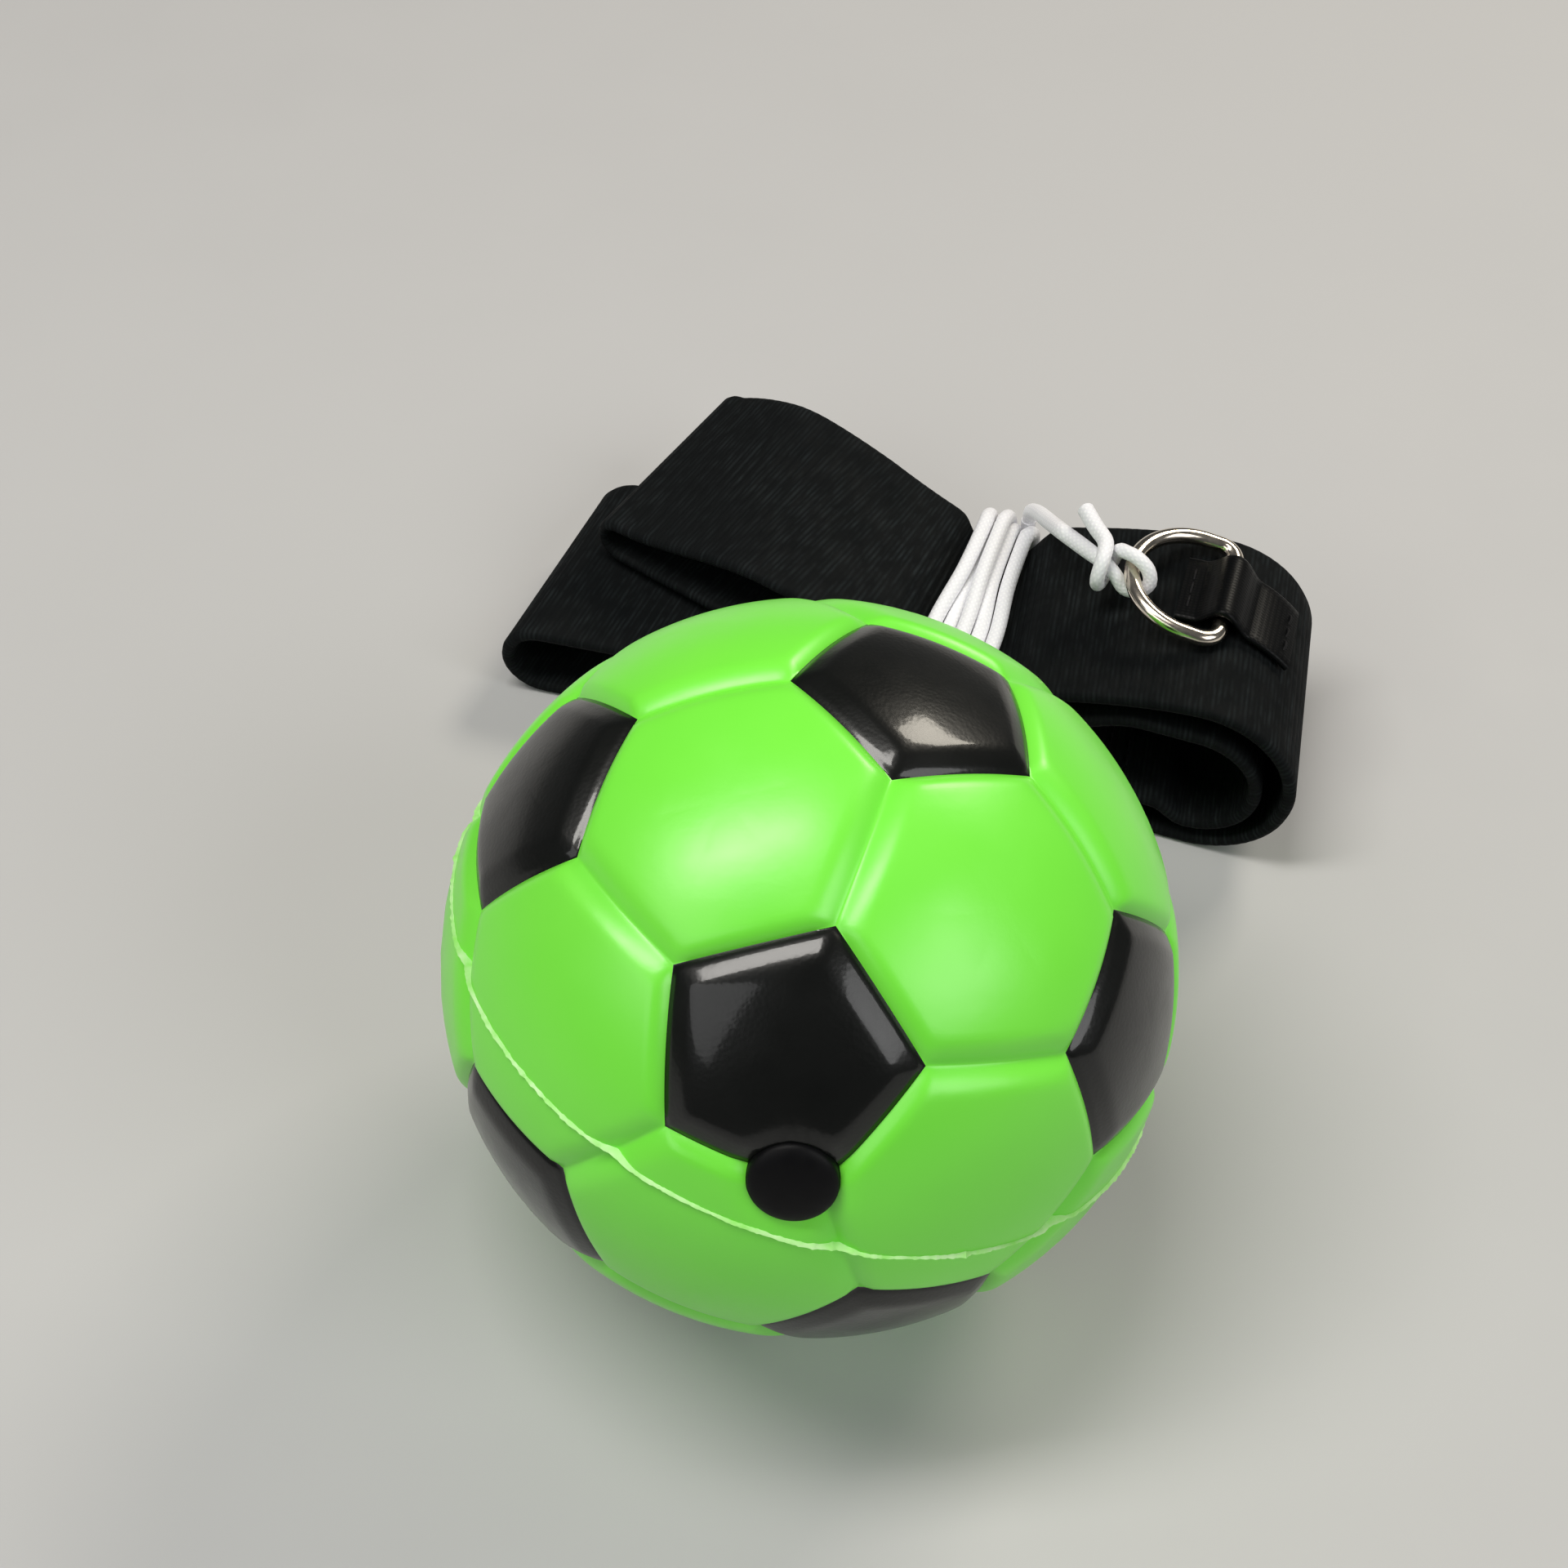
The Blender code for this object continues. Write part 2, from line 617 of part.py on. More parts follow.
def make_d_ring(axis, finish):
    """Bar along local Y, the bow towards -X."""
    half = (RING_WIDTH - RING_WIRE) / 2
    depth = RING_DEPTH - RING_WIRE
    points = []
    for k in range(5):
        turn = math.radians(22.5 * k)
        corner = Vector((-RING_CORNER, half - RING_CORNER, 0))
        points.append(corner + RING_CORNER * Vector((math.cos(turn), math.sin(turn), 0)))
    for k in range(1, 16):
        turn = math.radians(90 + 180 * k / 16)
        points.append(Vector((-(depth - half) + half * math.cos(turn), half * math.sin(turn), 0)))
    for k in range(5):
        turn = math.radians(270 + 22.5 * k)
        corner = Vector((-RING_CORNER, RING_CORNER - half, 0))
        points.append(corner + RING_CORNER * Vector((math.cos(turn), math.sin(turn), 0)))
    points += [Vector((0, (half - RING_CORNER) * (k - 1) / 1.5, 0)) for k in (0.25, 1, 1.75)]
    return tube("d_ring", points, RING_WIRE, axis, finish, 3, True)


def make_ring_tab(root, finish):
    """Webbing sewn flat on the band, humped over the ring's bar."""
    stations = 26
    hump = RING_WIRE + CLEARANCE
    skew = math.radians(RING_SKEW)
    sections = []
    for k in range(stations + 1):
        q = -TAB_FRONT + (TAB_FRONT + TAB_BACK) * k / stations
        lift = CLEARANCE
        if abs(q) < TAB_HUMP_HALF:
            lift += hump * math.cos(math.pi * q / (2 * TAB_HUMP_HALF)) ** 2
        section = []
        for v, height in ((-1, 0), (1, 0), (1, 1), (-1, 1)):
            v *= TAB_WIDTH / 2
            s, z, side, up = band_top(q * math.cos(skew) - v * math.sin(skew))
            off = lift + height * TAB_THICKNESS
            across = RING_ACROSS + q * math.sin(skew) + v * math.cos(skew)
            section.append(on_band(s + side * off, across, z + up * off))
        sections.append(section)
    return strip("ring_tab", sections, root, finish)


# Cord outside the ball


def one_turn(layer):
    """Points of one turn, near side first and down, as w and z."""
    radius = WINDING_CORNER + layer * LAYER_STEP
    wide = WINDING_HALF_WIDTH - WINDING_CORNER
    low = INNER_BOTTOM - layer * BOTTOM_STEP
    high = INNER_TOP + layer * LAYER_STEP
    points = []
    floor, roof = low + radius, high - radius
    for side, level, start in ((-1, floor, 180), (1, floor, 270), (1, roof, 0), (-1, roof, 90)):
        for k in range(5):
            turn = math.radians(start + 22.5 * k)
            points.append((side * wide + radius * math.cos(turn), level + radius * math.sin(turn)))
        if start in (180, 0):
            points += [(side * wide * share, points[-1][1]) for share in (1 / 3, -1 / 3)]
    return points


def at_waist(s, w, z):
    """A place by the waist, where the band runs straight."""
    turn = math.radians(BAND_TURN)
    along = Vector((math.cos(turn), math.sin(turn)))
    at = WAIST + along * s + along.orthogonal() * w
    return Vector((at.x, at.y, z))


def fan(w):
    """Pitch and shift of the strands at w across the band, and how far they have fanned out nearby."""
    near = smoothstep((PINCH_AT - w) / NEAR_FAN)
    pitch = PINCH_PITCH + (FAR_PITCH - PINCH_PITCH) * smoothstep((w - PINCH_AT) / FAR_FAN)
    pitch += (NEAR_PITCH - PINCH_PITCH) * near
    return pitch, FAR_SHIFT + (NEAR_SHIFT - FAR_SHIFT) * near, near


def winding_points():
    """Inner turns from right to left, a climb under the band, then outer turns back to the right."""
    ring = one_turn(0.5)
    lengths = [math.dist(a, b) for a, b in zip(ring, ring[1:] + ring[:1])]
    shares = [sum(lengths[:k]) / sum(lengths) for k in range(len(ring))]
    columns = (START_COLUMN, *INNER_COLUMNS, *OUTER_COLUMNS, END_COLUMN)
    climb, last = len(INNER_COLUMNS), len(columns) - 2
    points = []
    for turn, (before, after) in enumerate(zip(columns, columns[1:])):
        for k, share in enumerate(shares):
            if turn == last and share > 0.505:
                break
            pitch, shift, near = fan(ring[k][0])
            below = smoothstep(share / 0.08) * (1 - smoothstep((share - 0.36) / 0.1))
            nest = math.sqrt(max(0.0, NEST_STEP**2 - (pitch / 2) ** 2)) / LAYER_STEP
            layer = 0.0 if turn < climb else below + (1 - below) * nest
            old, new = [pair[FAR] + (pair[NEAR] - pair[FAR]) * near for pair in (before, after)]
            column = old + (new - old) * smoothstep((share - 0.04) / 0.36)
            if turn == climb:
                layer *= smoothstep((share - 0.12) / 0.3)
                column -= CLIMB_SWING * math.sin(math.pi * max(0.0, min(1.0, (share - 0.08) / 0.42)))
            w, z = one_turn(layer)[k]
            w += WINDING_SLANT * max(-1.0, min(1.0, column)) * smoothstep(w / PINCH_AT)
            points.append(at_waist(shift + column * pitch, w, z))
    up = Vector((0, 0, CORD_DIAMETER))
    return [points[0] + up, *points, points[-1] + up]


def ring_place(out, across, up):
    """A place beside the ring's bow in the ring's own frame: out from the wire, across, above."""
    return Vector((-(RING_DEPTH - RING_WIRE) - out * MM, across * MM, up * MM))


# Half hitch on the ring's bow and the free tail, in millimetres out, across and above the wire
HITCH_ROUTE = (
    (6.8, 2.9, -2.3),
    (5.3, 1.4, -1.5),
    (3.8, 0.0, -0.8),
    (2.6, -0.9, -0.5),
    (1.4, -1.5, -0.9),
    (0.1, -2.0, -1.8),
    (-1.35, -2.1, -1.45),
    (-2.15, -1.85, -0.1),
    (-1.5, -1.4, 1.25),
    (-0.1, -0.9, 1.85),
    (1.1, -0.25, 1.5),
    (1.85, 0.65, 0.5),
    (2.1, 0.6, -1.3),
    (2.4, -0.6, -2.6),
    (2.8, -2.3, -2.2),
    (3.15, -3.0, -0.6),
    (3.25, -2.0, 0.9),
    (3.3, -0.5, 1.1),
    (3.6, 0.95, 0.95),
    (4.9, 2.9, 0.45),
    (6.4, 5.3, 0.0),
)


def make_outer_cord(root, axis, ring_axis, finish):
    winding = winding_points()
    cord("cord_winding", winding, root, finish, TAUT_DIAMETER, 1)
    hitch = smooth_route([ring_place(*place) for place in HITCH_ROUTE], TAUT_DIAMETER)
    cord("ring_hitch", hitch, ring_axis, finish, TAUT_DIAMETER)

    to_root = ring_axis.matrix_local
    start = winding[-1] + Vector((0, 0, CLEARANCE))
    end_run = (hitch[0] - hitch[1]).normalized()
    end = to_root @ (hitch[0] + end_run * CLEARANCE)
    near_end = to_root @ (hitch[0] + end_run * CORD_DIAMETER)
    along = at_waist(1, 0, 0) - at_waist(0, 0, 0)
    near = at_waist(0, 0, 0) - at_waist(0, 1, 0)
    up = Vector((0, 0, 1))
    shoulder, crest = [
        start + along * ahead + near * aside + up * rise for ahead, aside, rise in (SPAN_SHOULDER, SPAN_CREST)
    ]
    halfway = crest.lerp(near_end, 0.5)
    span = smooth_route([start, shoulder, crest, halfway, near_end, end], CORD_DIAMETER)
    cord("cord_span", span, root, finish)

    out = axis.matrix_local.to_3x3() @ Vector((0, 0, -1))
    exit_at = BALL_CENTRE + out * (BALL_RADIUS - SEAM_DEPTH + CLEARANCE)
    stop = winding[0] + up * CLEARANCE
    last = stop + up * CORD_DIAMETER
    aside = 1.25 * CORD_DIAMETER
    beside = last + along * 0.3 * aside + near * aside + up * CORD_DIAMETER
    ahead = beside + along * 0.1 * aside + near * 1.4 * aside + up * 0.8 * CORD_DIAMETER
    lead = [exit_at, exit_at + out * 2 * CORD_DIAMETER, exit_at.lerp(ahead, 0.6), ahead, beside, last, stop]
    lead = smooth_route(lead, 2 * CORD_DIAMETER)
    cord("cord_lead", lead, root, finish, TAUT_DIAMETER)


def centre_on_floor(root):
    """Moves the assembly so that the box of everything but the cord stands centred on the origin."""
    bpy.context.view_layer.update()
    graph = bpy.context.evaluated_depsgraph_get()
    corners = []
    for obj in bpy.data.objects:
        if obj.type == "EMPTY" or obj.hide_render or obj.name in CORD_NODES:
            continue
        shape = obj.evaluated_get(graph)
        mesh = shape.to_mesh()
        corners += [shape.matrix_world @ point.co for point in mesh.vertices]
        shape.to_mesh_clear()
    for k in range(2):
        values = [point[k] for point in corners]
        root.location[k] = -(min(values) + max(values)) / 2
    root.location.z = -min(point.z for point in corners)
    bpy.context.view_layer.update()


def main():
    clear_scene()
    foam = material("green_foam", (0.10, 0.62, 0.03), 0.45)
    plug_black = material("plug_plastic", (0.012, 0.012, 0.012), 0.55)
    white = material("elastic_cord", (0.82, 0.82, 0.86), 0.75)
    elastic = material("band_elastic", (0.014, 0.015, 0.016), 0.85)
    nickel = material("nickel_wire", (0.72, 0.68, 0.62), 0.2, 1.0)
    webbing = material("tab_webbing", (0.02, 0.02, 0.022), 0.5)

    root = empty("headband_set", None, (0, 0, 0))
    lean = Matrix.Rotation(math.radians(90 - PLUG_LEAN), 3, "X").to_euler()
    stopper_axis = empty("stopper_axis", root, BALL_CENTRE, lean)
    bar = on_band(RING_ALONG, RING_ACROSS, ring_bar_height())
    ring_turn = Matrix.Rotation(math.radians(BAND_TURN + RIGHT_LEAN + RING_SKEW), 3, "Z")
    ring_tilt = Matrix.Rotation(math.radians(RING_TILT), 3, "Y")
    ring_axis = empty("ring_axis", root, bar, (ring_turn @ ring_tilt).to_euler())
    bpy.context.view_layer.update()

    make_ball(root, stopper_axis, foam)
    make_plug(stopper_axis, plug_black)
    make_inner_cord(stopper_axis, white)
    make_headband(root, elastic)
    make_ring_tab(root, webbing)
    make_d_ring(ring_axis, nickel)
    make_outer_cord(root, stopper_axis, ring_axis, white)
    centre_on_floor(root)
    for place in (stopper_axis, ring_axis):
        print(place.name, [round(v, 5) for v in place.matrix_world.translation])
    for name in ("cord_lead", "cord_span"):
        knots = bpy.data.objects[name].data.splines[0].points
        for knot in (knots[0], knots[-1]):
            print(name, "end", [round(v, 5) for v in root.matrix_world @ knot.co.to_3d()])
    rest = root.matrix_world @ on_band(-REST_AT, 0, 0, LOWER)
    print("rest face", [round(v, 5) for v in rest])


main()
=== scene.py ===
"""Looks of the reflex ball headband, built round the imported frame.

Lengths are metres and +Z is up. The band's own lengths are s along it from the waist, where the cord
binds it, w across it and z above the floor. Shapes follow the CAD model's formulas at a finer step.
Here the upper left fold's far corner also droops, the black panels have bevels and the wound cord is
thicker. The mould flash and the sewing thread are only here.
"""

import json
from bisect import bisect
from math import asin, atan2, cos, dist, hypot, pi, radians, sin, sqrt

import bmesh
import bpy
from mathutils import Euler, Matrix, Vector, noise

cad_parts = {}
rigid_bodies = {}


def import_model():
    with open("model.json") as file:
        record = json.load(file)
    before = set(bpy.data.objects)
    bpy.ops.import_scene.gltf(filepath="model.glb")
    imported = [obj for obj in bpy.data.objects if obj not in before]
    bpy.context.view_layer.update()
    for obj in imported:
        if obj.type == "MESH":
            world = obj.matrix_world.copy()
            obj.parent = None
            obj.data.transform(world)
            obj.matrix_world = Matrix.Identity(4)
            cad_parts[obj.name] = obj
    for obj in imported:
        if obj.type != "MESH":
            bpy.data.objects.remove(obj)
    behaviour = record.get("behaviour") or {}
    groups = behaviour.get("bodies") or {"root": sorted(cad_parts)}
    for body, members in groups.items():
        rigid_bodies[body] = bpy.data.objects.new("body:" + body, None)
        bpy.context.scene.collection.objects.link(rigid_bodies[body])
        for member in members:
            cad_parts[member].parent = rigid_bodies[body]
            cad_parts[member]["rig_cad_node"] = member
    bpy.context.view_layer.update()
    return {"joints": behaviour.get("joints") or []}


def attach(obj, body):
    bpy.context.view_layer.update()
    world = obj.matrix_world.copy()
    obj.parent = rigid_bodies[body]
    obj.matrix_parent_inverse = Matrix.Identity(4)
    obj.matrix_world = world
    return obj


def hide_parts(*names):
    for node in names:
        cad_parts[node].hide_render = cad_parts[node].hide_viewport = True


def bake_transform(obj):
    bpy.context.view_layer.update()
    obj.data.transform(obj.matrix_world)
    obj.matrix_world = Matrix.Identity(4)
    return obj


MM = 0.001

# Angles in degrees over which an edge is shaded sharp
SHARP = 40.0
TUBE_SHARP = 60.0
STRIP_SHARP = 70.0

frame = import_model()
JOINTS = {joint["name"]: joint for joint in frame["joints"]}
BALL_CENTRE = Vector(JOINTS["ball_spin"]["pos_m"])
BALL_AXIS = Vector(JOINTS["ball_spin"]["axis"]).normalized()
RING_PLACE = Vector(JOINTS["ring_swing"]["pos_m"])

# Camera, fitted to the ball's panels
LENS = 52.5
SENSOR = 36.0
CLIP_START = 0.01
CAMERA_FROM_BALL = Vector((3.77, -112.23, 163.27)) * MM
CAMERA_LOOK = Vector((-0.0332, 0.6284, -0.7771))

# Stage. A light has a name, a place from the ball, two sides, watts, a turn in degrees and a colour
FLOOR_HALF = 1.5
FLOOR_DROP = 0.05 * MM
LIGHTS = (
    ("overhead_softbox", (-0.21, 0.01, 0.62), (0.13, 0.46), 3.0, 16.0, (1.0, 0.97, 0.92)),
    ("back_softbox", (0.42, 0.52, 0.55), (0.32, 0.20), 3.2, 0.0, (1.0, 0.93, 0.80)),
    ("left_fill", (-0.50, -0.45, 0.50), (0.60, 0.45), 1.4, 0.0, (1.0, 1.0, 1.0)),
    ("right_fill", (0.55, -0.35, 0.50), (0.50, 0.40), 2.3, 0.0, (1.0, 1.0, 1.0)),
)
SKY_COLOUR = (0.9, 0.92, 0.95, 1.0)
SKY_STRENGTH = 0.08

CLEARANCE = 0.3 * MM

# Ball. Ring offsets are millimetres in from a panel's edge
BALL_RADIUS = 31.5 * MM
SEAM_DEPTH = 0.8 * MM
SEAM_HALF_WIDTH = 2.1 * MM
SEAM_ROUND = 0.22 * MM
SEAM_POWER = 1.8
RIM_HALF_WIDTH = 1.5 * MM
BEVEL_WIDTH = 2.1 * MM
BEVEL_SLOPE = 0.33
BEVEL_ROUND = 0.25 * MM
PUCKER_DEPTH = 0.3 * MM
PUCKER_WIDTH = 2.2 * MM
SEAT_GAP = 0.05 * MM
WALL_WIDTH = 0.6 * MM
PATTERN_TURN = (65.4, 36.8, -44.8)
EDGE_STEPS = 16
CORNER_POWER = 7
RING_OFFSETS = (0.0, 0.1, 0.22, 0.36, 0.52, 0.72, 0.98, 1.3, 1.7, 2.15, 2.7, 3.4, 4.4, 5.8, 7.6)
LAST_RING_SHARE = 0.93
WELD = 0.002 * MM
CUT_OVERRUN = 6.3 * MM

# Mould flash. A noise has its scale and its share of the flash's size
FLASH_NORMAL = Vector((0.3041, 0.1987, 0.9317))
FLASH_OFFSET = 0.0294
FLASH_HEIGHT = 0.24 * MM
FLASH_HALF_WIDTH = 0.25 * MM
FLASH_BRIDGE = 0.6
FLASH_STEPS = 900
FLASH_SECTION = ((0.0, -1.2), (1.0, -0.8), (0.6, 0.35), (0.0, 1.0), (-0.55, 0.4), (-1.0, -0.8))
FLASH_NOISES = ((9, 0.4), (70, 0.4), (190, 0.3))
FLASH_LEAST = 0.4
FLASH_BLOB_NOISE = (28, 1.6)
FLASH_BLOB_FROM = 0.42
FLASH_WANDER = 0.06 * MM
FLASH_WANDER_SCALE = 24

# Stopper plug
PLUG_HEAD_RADIUS = 3.5 * MM
PLUG_RIM = 0.9 * MM
PLUG_CROWN = 0.9 * MM
PLUG_CROWN_POWER = 0.9
PLUG_CROWN_STEPS = 12
PLUG_CHAMFER = 0.5 * MM
PLUG_SINK = 0.4 * MM
PLUG_STEM_RADIUS = 2.3 * MM
PLUG_STEM_LENGTH = 13.0 * MM
PLUG_BLADE_HALF = 1.0 * MM
PLUG_BLADE_LENGTH = 6.5 * MM
EYE_RADIUS = 1.5 * MM
EYE_TO_END = 2.6 * MM
TURNED_STEPS = 72

# Elastic cord
CORD_DIAMETER = 1.8 * MM
CORD_RADIUS = CORD_DIAMETER / 2
TAUT_DIAMETER = 1.5 * MM
TAUT_RADIUS = TAUT_DIAMETER / 2
WOUND_DIAMETER = 1.68 * MM
CORD_BORE_RADIUS = 1.5 * MM
CORD_SIDES = 14
CORD_STEP = 0.45 * MM
KNOT_TURNS = 2.5
KNOT_PITCH = 2.25 * MM
KNOT_DROP = 7.4 * MM
COIL_STEPS = 36
ARCH_STEPS = 6

# Headband. A pair of sizes is for its near and far edges, and a branch is a bend and a lean in degrees
BAND_WIDTH = 25.4 * MM
BAND_THICKNESS = 1.4 * MM
HALF_THICK = BAND_THICKNESS / 2
BAND_TURN = -17.0
WAIST_WIDTH = 22.8 * MM
WAIST_FLAT = 4.2 * MM
WAIST_SIDEWAYS = 15.7 * MM
WAIST_BEHIND_BALL = 27.9 * MM
PLY_GAP = 1.4 * MM
PUFF_SHARE = 0.3
LEFT_PUFF_SHARE = (0.3, 0.12)
PUFF_LENGTH = 4.0 * MM
PUFF_EASE = 0.35
WIDENING = 7.0 * MM
BEND_LENGTH = 18.0 * MM
RIGHT_LEAN = 8.0
RIGHT_LEAN_LENGTH = 5.0 * MM
RIGHT_REACH = 35.6 * MM
RIGHT_RISE = 19.6 * MM
RIGHT_TOP_RISE = 25.0 * MM
RIGHT_HEIGHT = 21.3 * MM
RIGHT_INNER_TOP = 17.3 * MM
RIGHT_INNER_LIFT = 2.5 * MM
RIGHT_NEST_GAP = 2.0 * MM
UPPER_REACH = (40.4 * MM, 41.4 * MM)
UPPER_CREST = (20.6 * MM, 20.5 * MM)
UPPER_CREST_AT = (18.0 * MM, 27.0 * MM)
UPPER_RISE = (15.0 * MM, 31.0 * MM)
UPPER_END_TOP = (16.7 * MM, 17.0 * MM)
UPPER_END_GAP = (3.1 * MM, 3.1 * MM)
LOWER_REACH = 48.7 * MM
LOWER_TOP = (9.7 * MM, 10.7 * MM)
LEFT_RISE = 16.0 * MM
LAP_START = 20.6 * MM
LAP_LENGTH = 12.0 * MM
UPPER = (-16.0, -16.0)
LOWER = (6.0, -4.0)
STRAIGHT = (0.0, 0.0)
NEAR, FAR = 0, 1
RIB_PITCH = 1.1 * MM
RIB_HEIGHT = 0.13 * MM
RIB_SAMPLES = 4
SELVEDGE = 1.3 * MM
SELVEDGE_EASE = 0.4
EDGE_DENT = 0.06
STRIP_CELLS = 12
EDGE_CELLS = 4
PLY_SAMPLE = 0.6 * MM
FOLD_STEPS = 40
AXIS_STEPS = 24

# Winding of the cord round the waist. A column is a strand's place on top, counted in pitches from
# the middle of the outer layer, at the near edge and at the far edge. The strands change columns
# under the band. They are pinched together at one place and fan out from it to either edge
START_COLUMN = (1.57, 2.05)
INNER_COLUMNS = ((1.02, 1.5), (0.5, 0.5), (-0.5, -0.5))
OUTER_COLUMNS = ((-1.0, -1.0), (0.0, 0.0))
END_COLUMN = (1.0, 1.0)
CLIMB_SWING = 0.9
LAYER_STEP = 1.55 * MM
NEST_STEP = 1.75 * MM
BOTTOM_STEP = 2.0 * MM
PINCH_PITCH = 1.65 * MM
FAR_PITCH = 2.0 * MM
NEAR_PITCH = 3.3 * MM
PINCH_AT = 8.0 * MM
FAR_FAN = 6.0 * MM
NEAR_FAN = 13.0 * MM
FAR_SHIFT = -0.7 * MM
NEAR_SHIFT = -0.2 * MM
WINDING_SLANT = 0.4 * MM
WINDING_CORNER = 3.0 * MM
WINDING_OVERHANG = 2.4 * MM
WINDING_LIFT = 0.1 * MM
CORNER_STEPS = 4

# Shares of a turn, from the near edge down, between which its strand does what the name says
TURN_SINKS = (0.0, 0.08)
TURN_RISES = (0.36, 0.46)
TURN_CROSSES = (0.04, 0.40)
CLIMB_RISES = (0.12, 0.42)
CLIMB_SWINGS = (0.08, 0.50)
LAST_TURN_SHARE = 0.505

# The cord's ways to the winding and from it, as steps along the band, to its near edge and up
LEAD_BESIDE = (0.675 * MM, 2.25 * MM, 1.8 * MM)
LEAD_AHEAD = (0.225 * MM, 3.15 * MM, 1.44 * MM)
LEAD_HALFWAY = 0.6
SPAN_SHOULDER = (0.15 * MM, 0.35 * MM, 1.7 * MM)
SPAN_CREST = (1.1 * MM, 1.6 * MM, 3.1 * MM)

# Shares of the cord's end between which it slackens, is drawn thin in the hitch and slackens again
SPAN_SLACKENS = (0.0, 0.15)
HITCH_TIGHTENS = (0.35, 0.47)
TAIL_SLACKENS = (0.80, 0.95)

# D-ring and tab
RING_WIRE = 1.7 * MM
RING_WIDTH = 15.5 * MM
RING_DEPTH = 12.0 * MM
RING_CORNER = 2.0 * MM
RING_TILT = 10.0
RING_SKEW = -4.7
RING_FROM_FOLD = 9.5 * MM
RING_ACROSS = 2.9 * MM
RING_SIDES = 24
RING_BEND_STEPS = 12
RING_BOW_STEPS = 64
RING_BAR_STEPS = 16
TAB_WIDTH = 9.0 * MM
TAB_THICKNESS = 0.8 * MM
TAB_FRONT = 4.8 * MM
TAB_BACK = 7.6 * MM
TAB_HUMP_HALF = 3.0 * MM
TAB_STEP = 0.2 * MM

# Sewing thread. A stitch rises and sinks by shares of the thread's diameter
THREAD_DIAMETER = 0.32 * MM
THREAD_SIDES = 8
STITCH_LENGTH = 1.5 * MM
STITCH_PITCH = 2.0 * MM
STITCH_STEPS = 8
STITCH_RISE = 0.75
STITCH_SINK = 0.35
TAB_ROW_INSET = 1.0 * MM
TAB_ROW_END = 0.7 * MM
LAP_ROWS = (2.0 * MM, 4.0 * MM, 9.0 * MM, 11.0 * MM)

# Textures: noise and its usual range, a wave's pitch at scale 1 and the sockets of a colour mix
NOISE_DETAIL = 3.0
NOISE_LOW, NOISE_HIGH = 0.3, 0.7
WAVE_PITCH = pi / 10
MIX_FIRST, MIX_SECOND, MIX_RESULT = 6, 7, 2


# Small tools


def share_between(value, start, end):
    """How far a value has come from start to end, from 0 to 1."""
    return min(1.0, max(0.0, (value - start) / (end - start)))


def smoothstep(t):
    t = min(1.0, max(0.0, t))
    return t * t * (3 - 2 * t)


def eased(value, start, end):
    return smoothstep((value - start) / (end - start))


def arc(x, y, radius, start, end, steps):
    """Points of an arc between two angles in degrees."""
    turns = [radians(start + (end - start) * k / steps) for k in range(steps + 1)]
    return [(x + radius * cos(turn), y + radius * sin(turn)) for turn in turns]


def circle(radius, steps):
    return arc(0, 0, radius, 0, 360, steps)[:-1]


def smooth_route(points, spacing):
    """Points at about this spacing on a smooth curve through a route's own points."""
    ends = [2 * points[0] - points[1], *points, 2 * points[-1] - points[-2]]
    route = []
    for a, b, c, d in zip(ends, ends[1:], ends[2:], ends[3:]):
        square, cube = 2 * a - 5 * b + 4 * c - d, 3 * b - a - 3 * c + d
        count = max(1, round((c - b).length / spacing))
        for k in range(count):
            t = k / count
            route.append((2 * b + (c - a) * t + square * t**2 + cube * t**3) / 2)
    return [*route, points[-1].copy()]


def lengths_along(points):
    along = [0.0]
    for a, b in zip(points, points[1:]):
        along.append(along[-1] + (b - a).length)
    return along


def add_object(name, data):
    made = bpy.data.objects.new(name, data)
    bpy.context.scene.collection.objects.link(made)
    return made


def mesh_piece(name, points, faces, finishes, face_finish=None, uvs=None, sharp=SHARP):
    """A smooth-shaded mesh object. uvs holds one pair per face corner, in the order of the faces."""
    data = bpy.data.meshes.new(name)
    data.from_pydata([tuple(p) for p in points], [], faces)
    for finish in finishes:
        data.materials.append(finish.material)
    if face_finish:
        data.polygons.foreach_set("material_index", face_finish)
    if uvs:
        layer = data.uv_layers.new(name="weave")
        layer.data.foreach_set("uv", [value for pair in uvs for value in pair])
    data.shade_smooth()
    data.set_sharp_from_angle(angle=radians(sharp))
    return add_object(name, data)


def ring_faces(rings, sides, closed):
    """Quads between rings of points, and two caps unless closed, with their corners' (ring, side) numbers."""
    corners = []
    for k in range(rings if closed else rings - 1):
        corners += [((k, a), (k, a + 1), (k + 1, a + 1), (k + 1, a)) for a in range(sides)]
    if not closed:
        corners.append([(0, a) for a in reversed(range(sides))])
        corners.append([(rings - 1, a) for a in range(sides)])
    faces = [[k % rings * sides + a % sides for k, a in face] for face in corners]
    return faces, corners


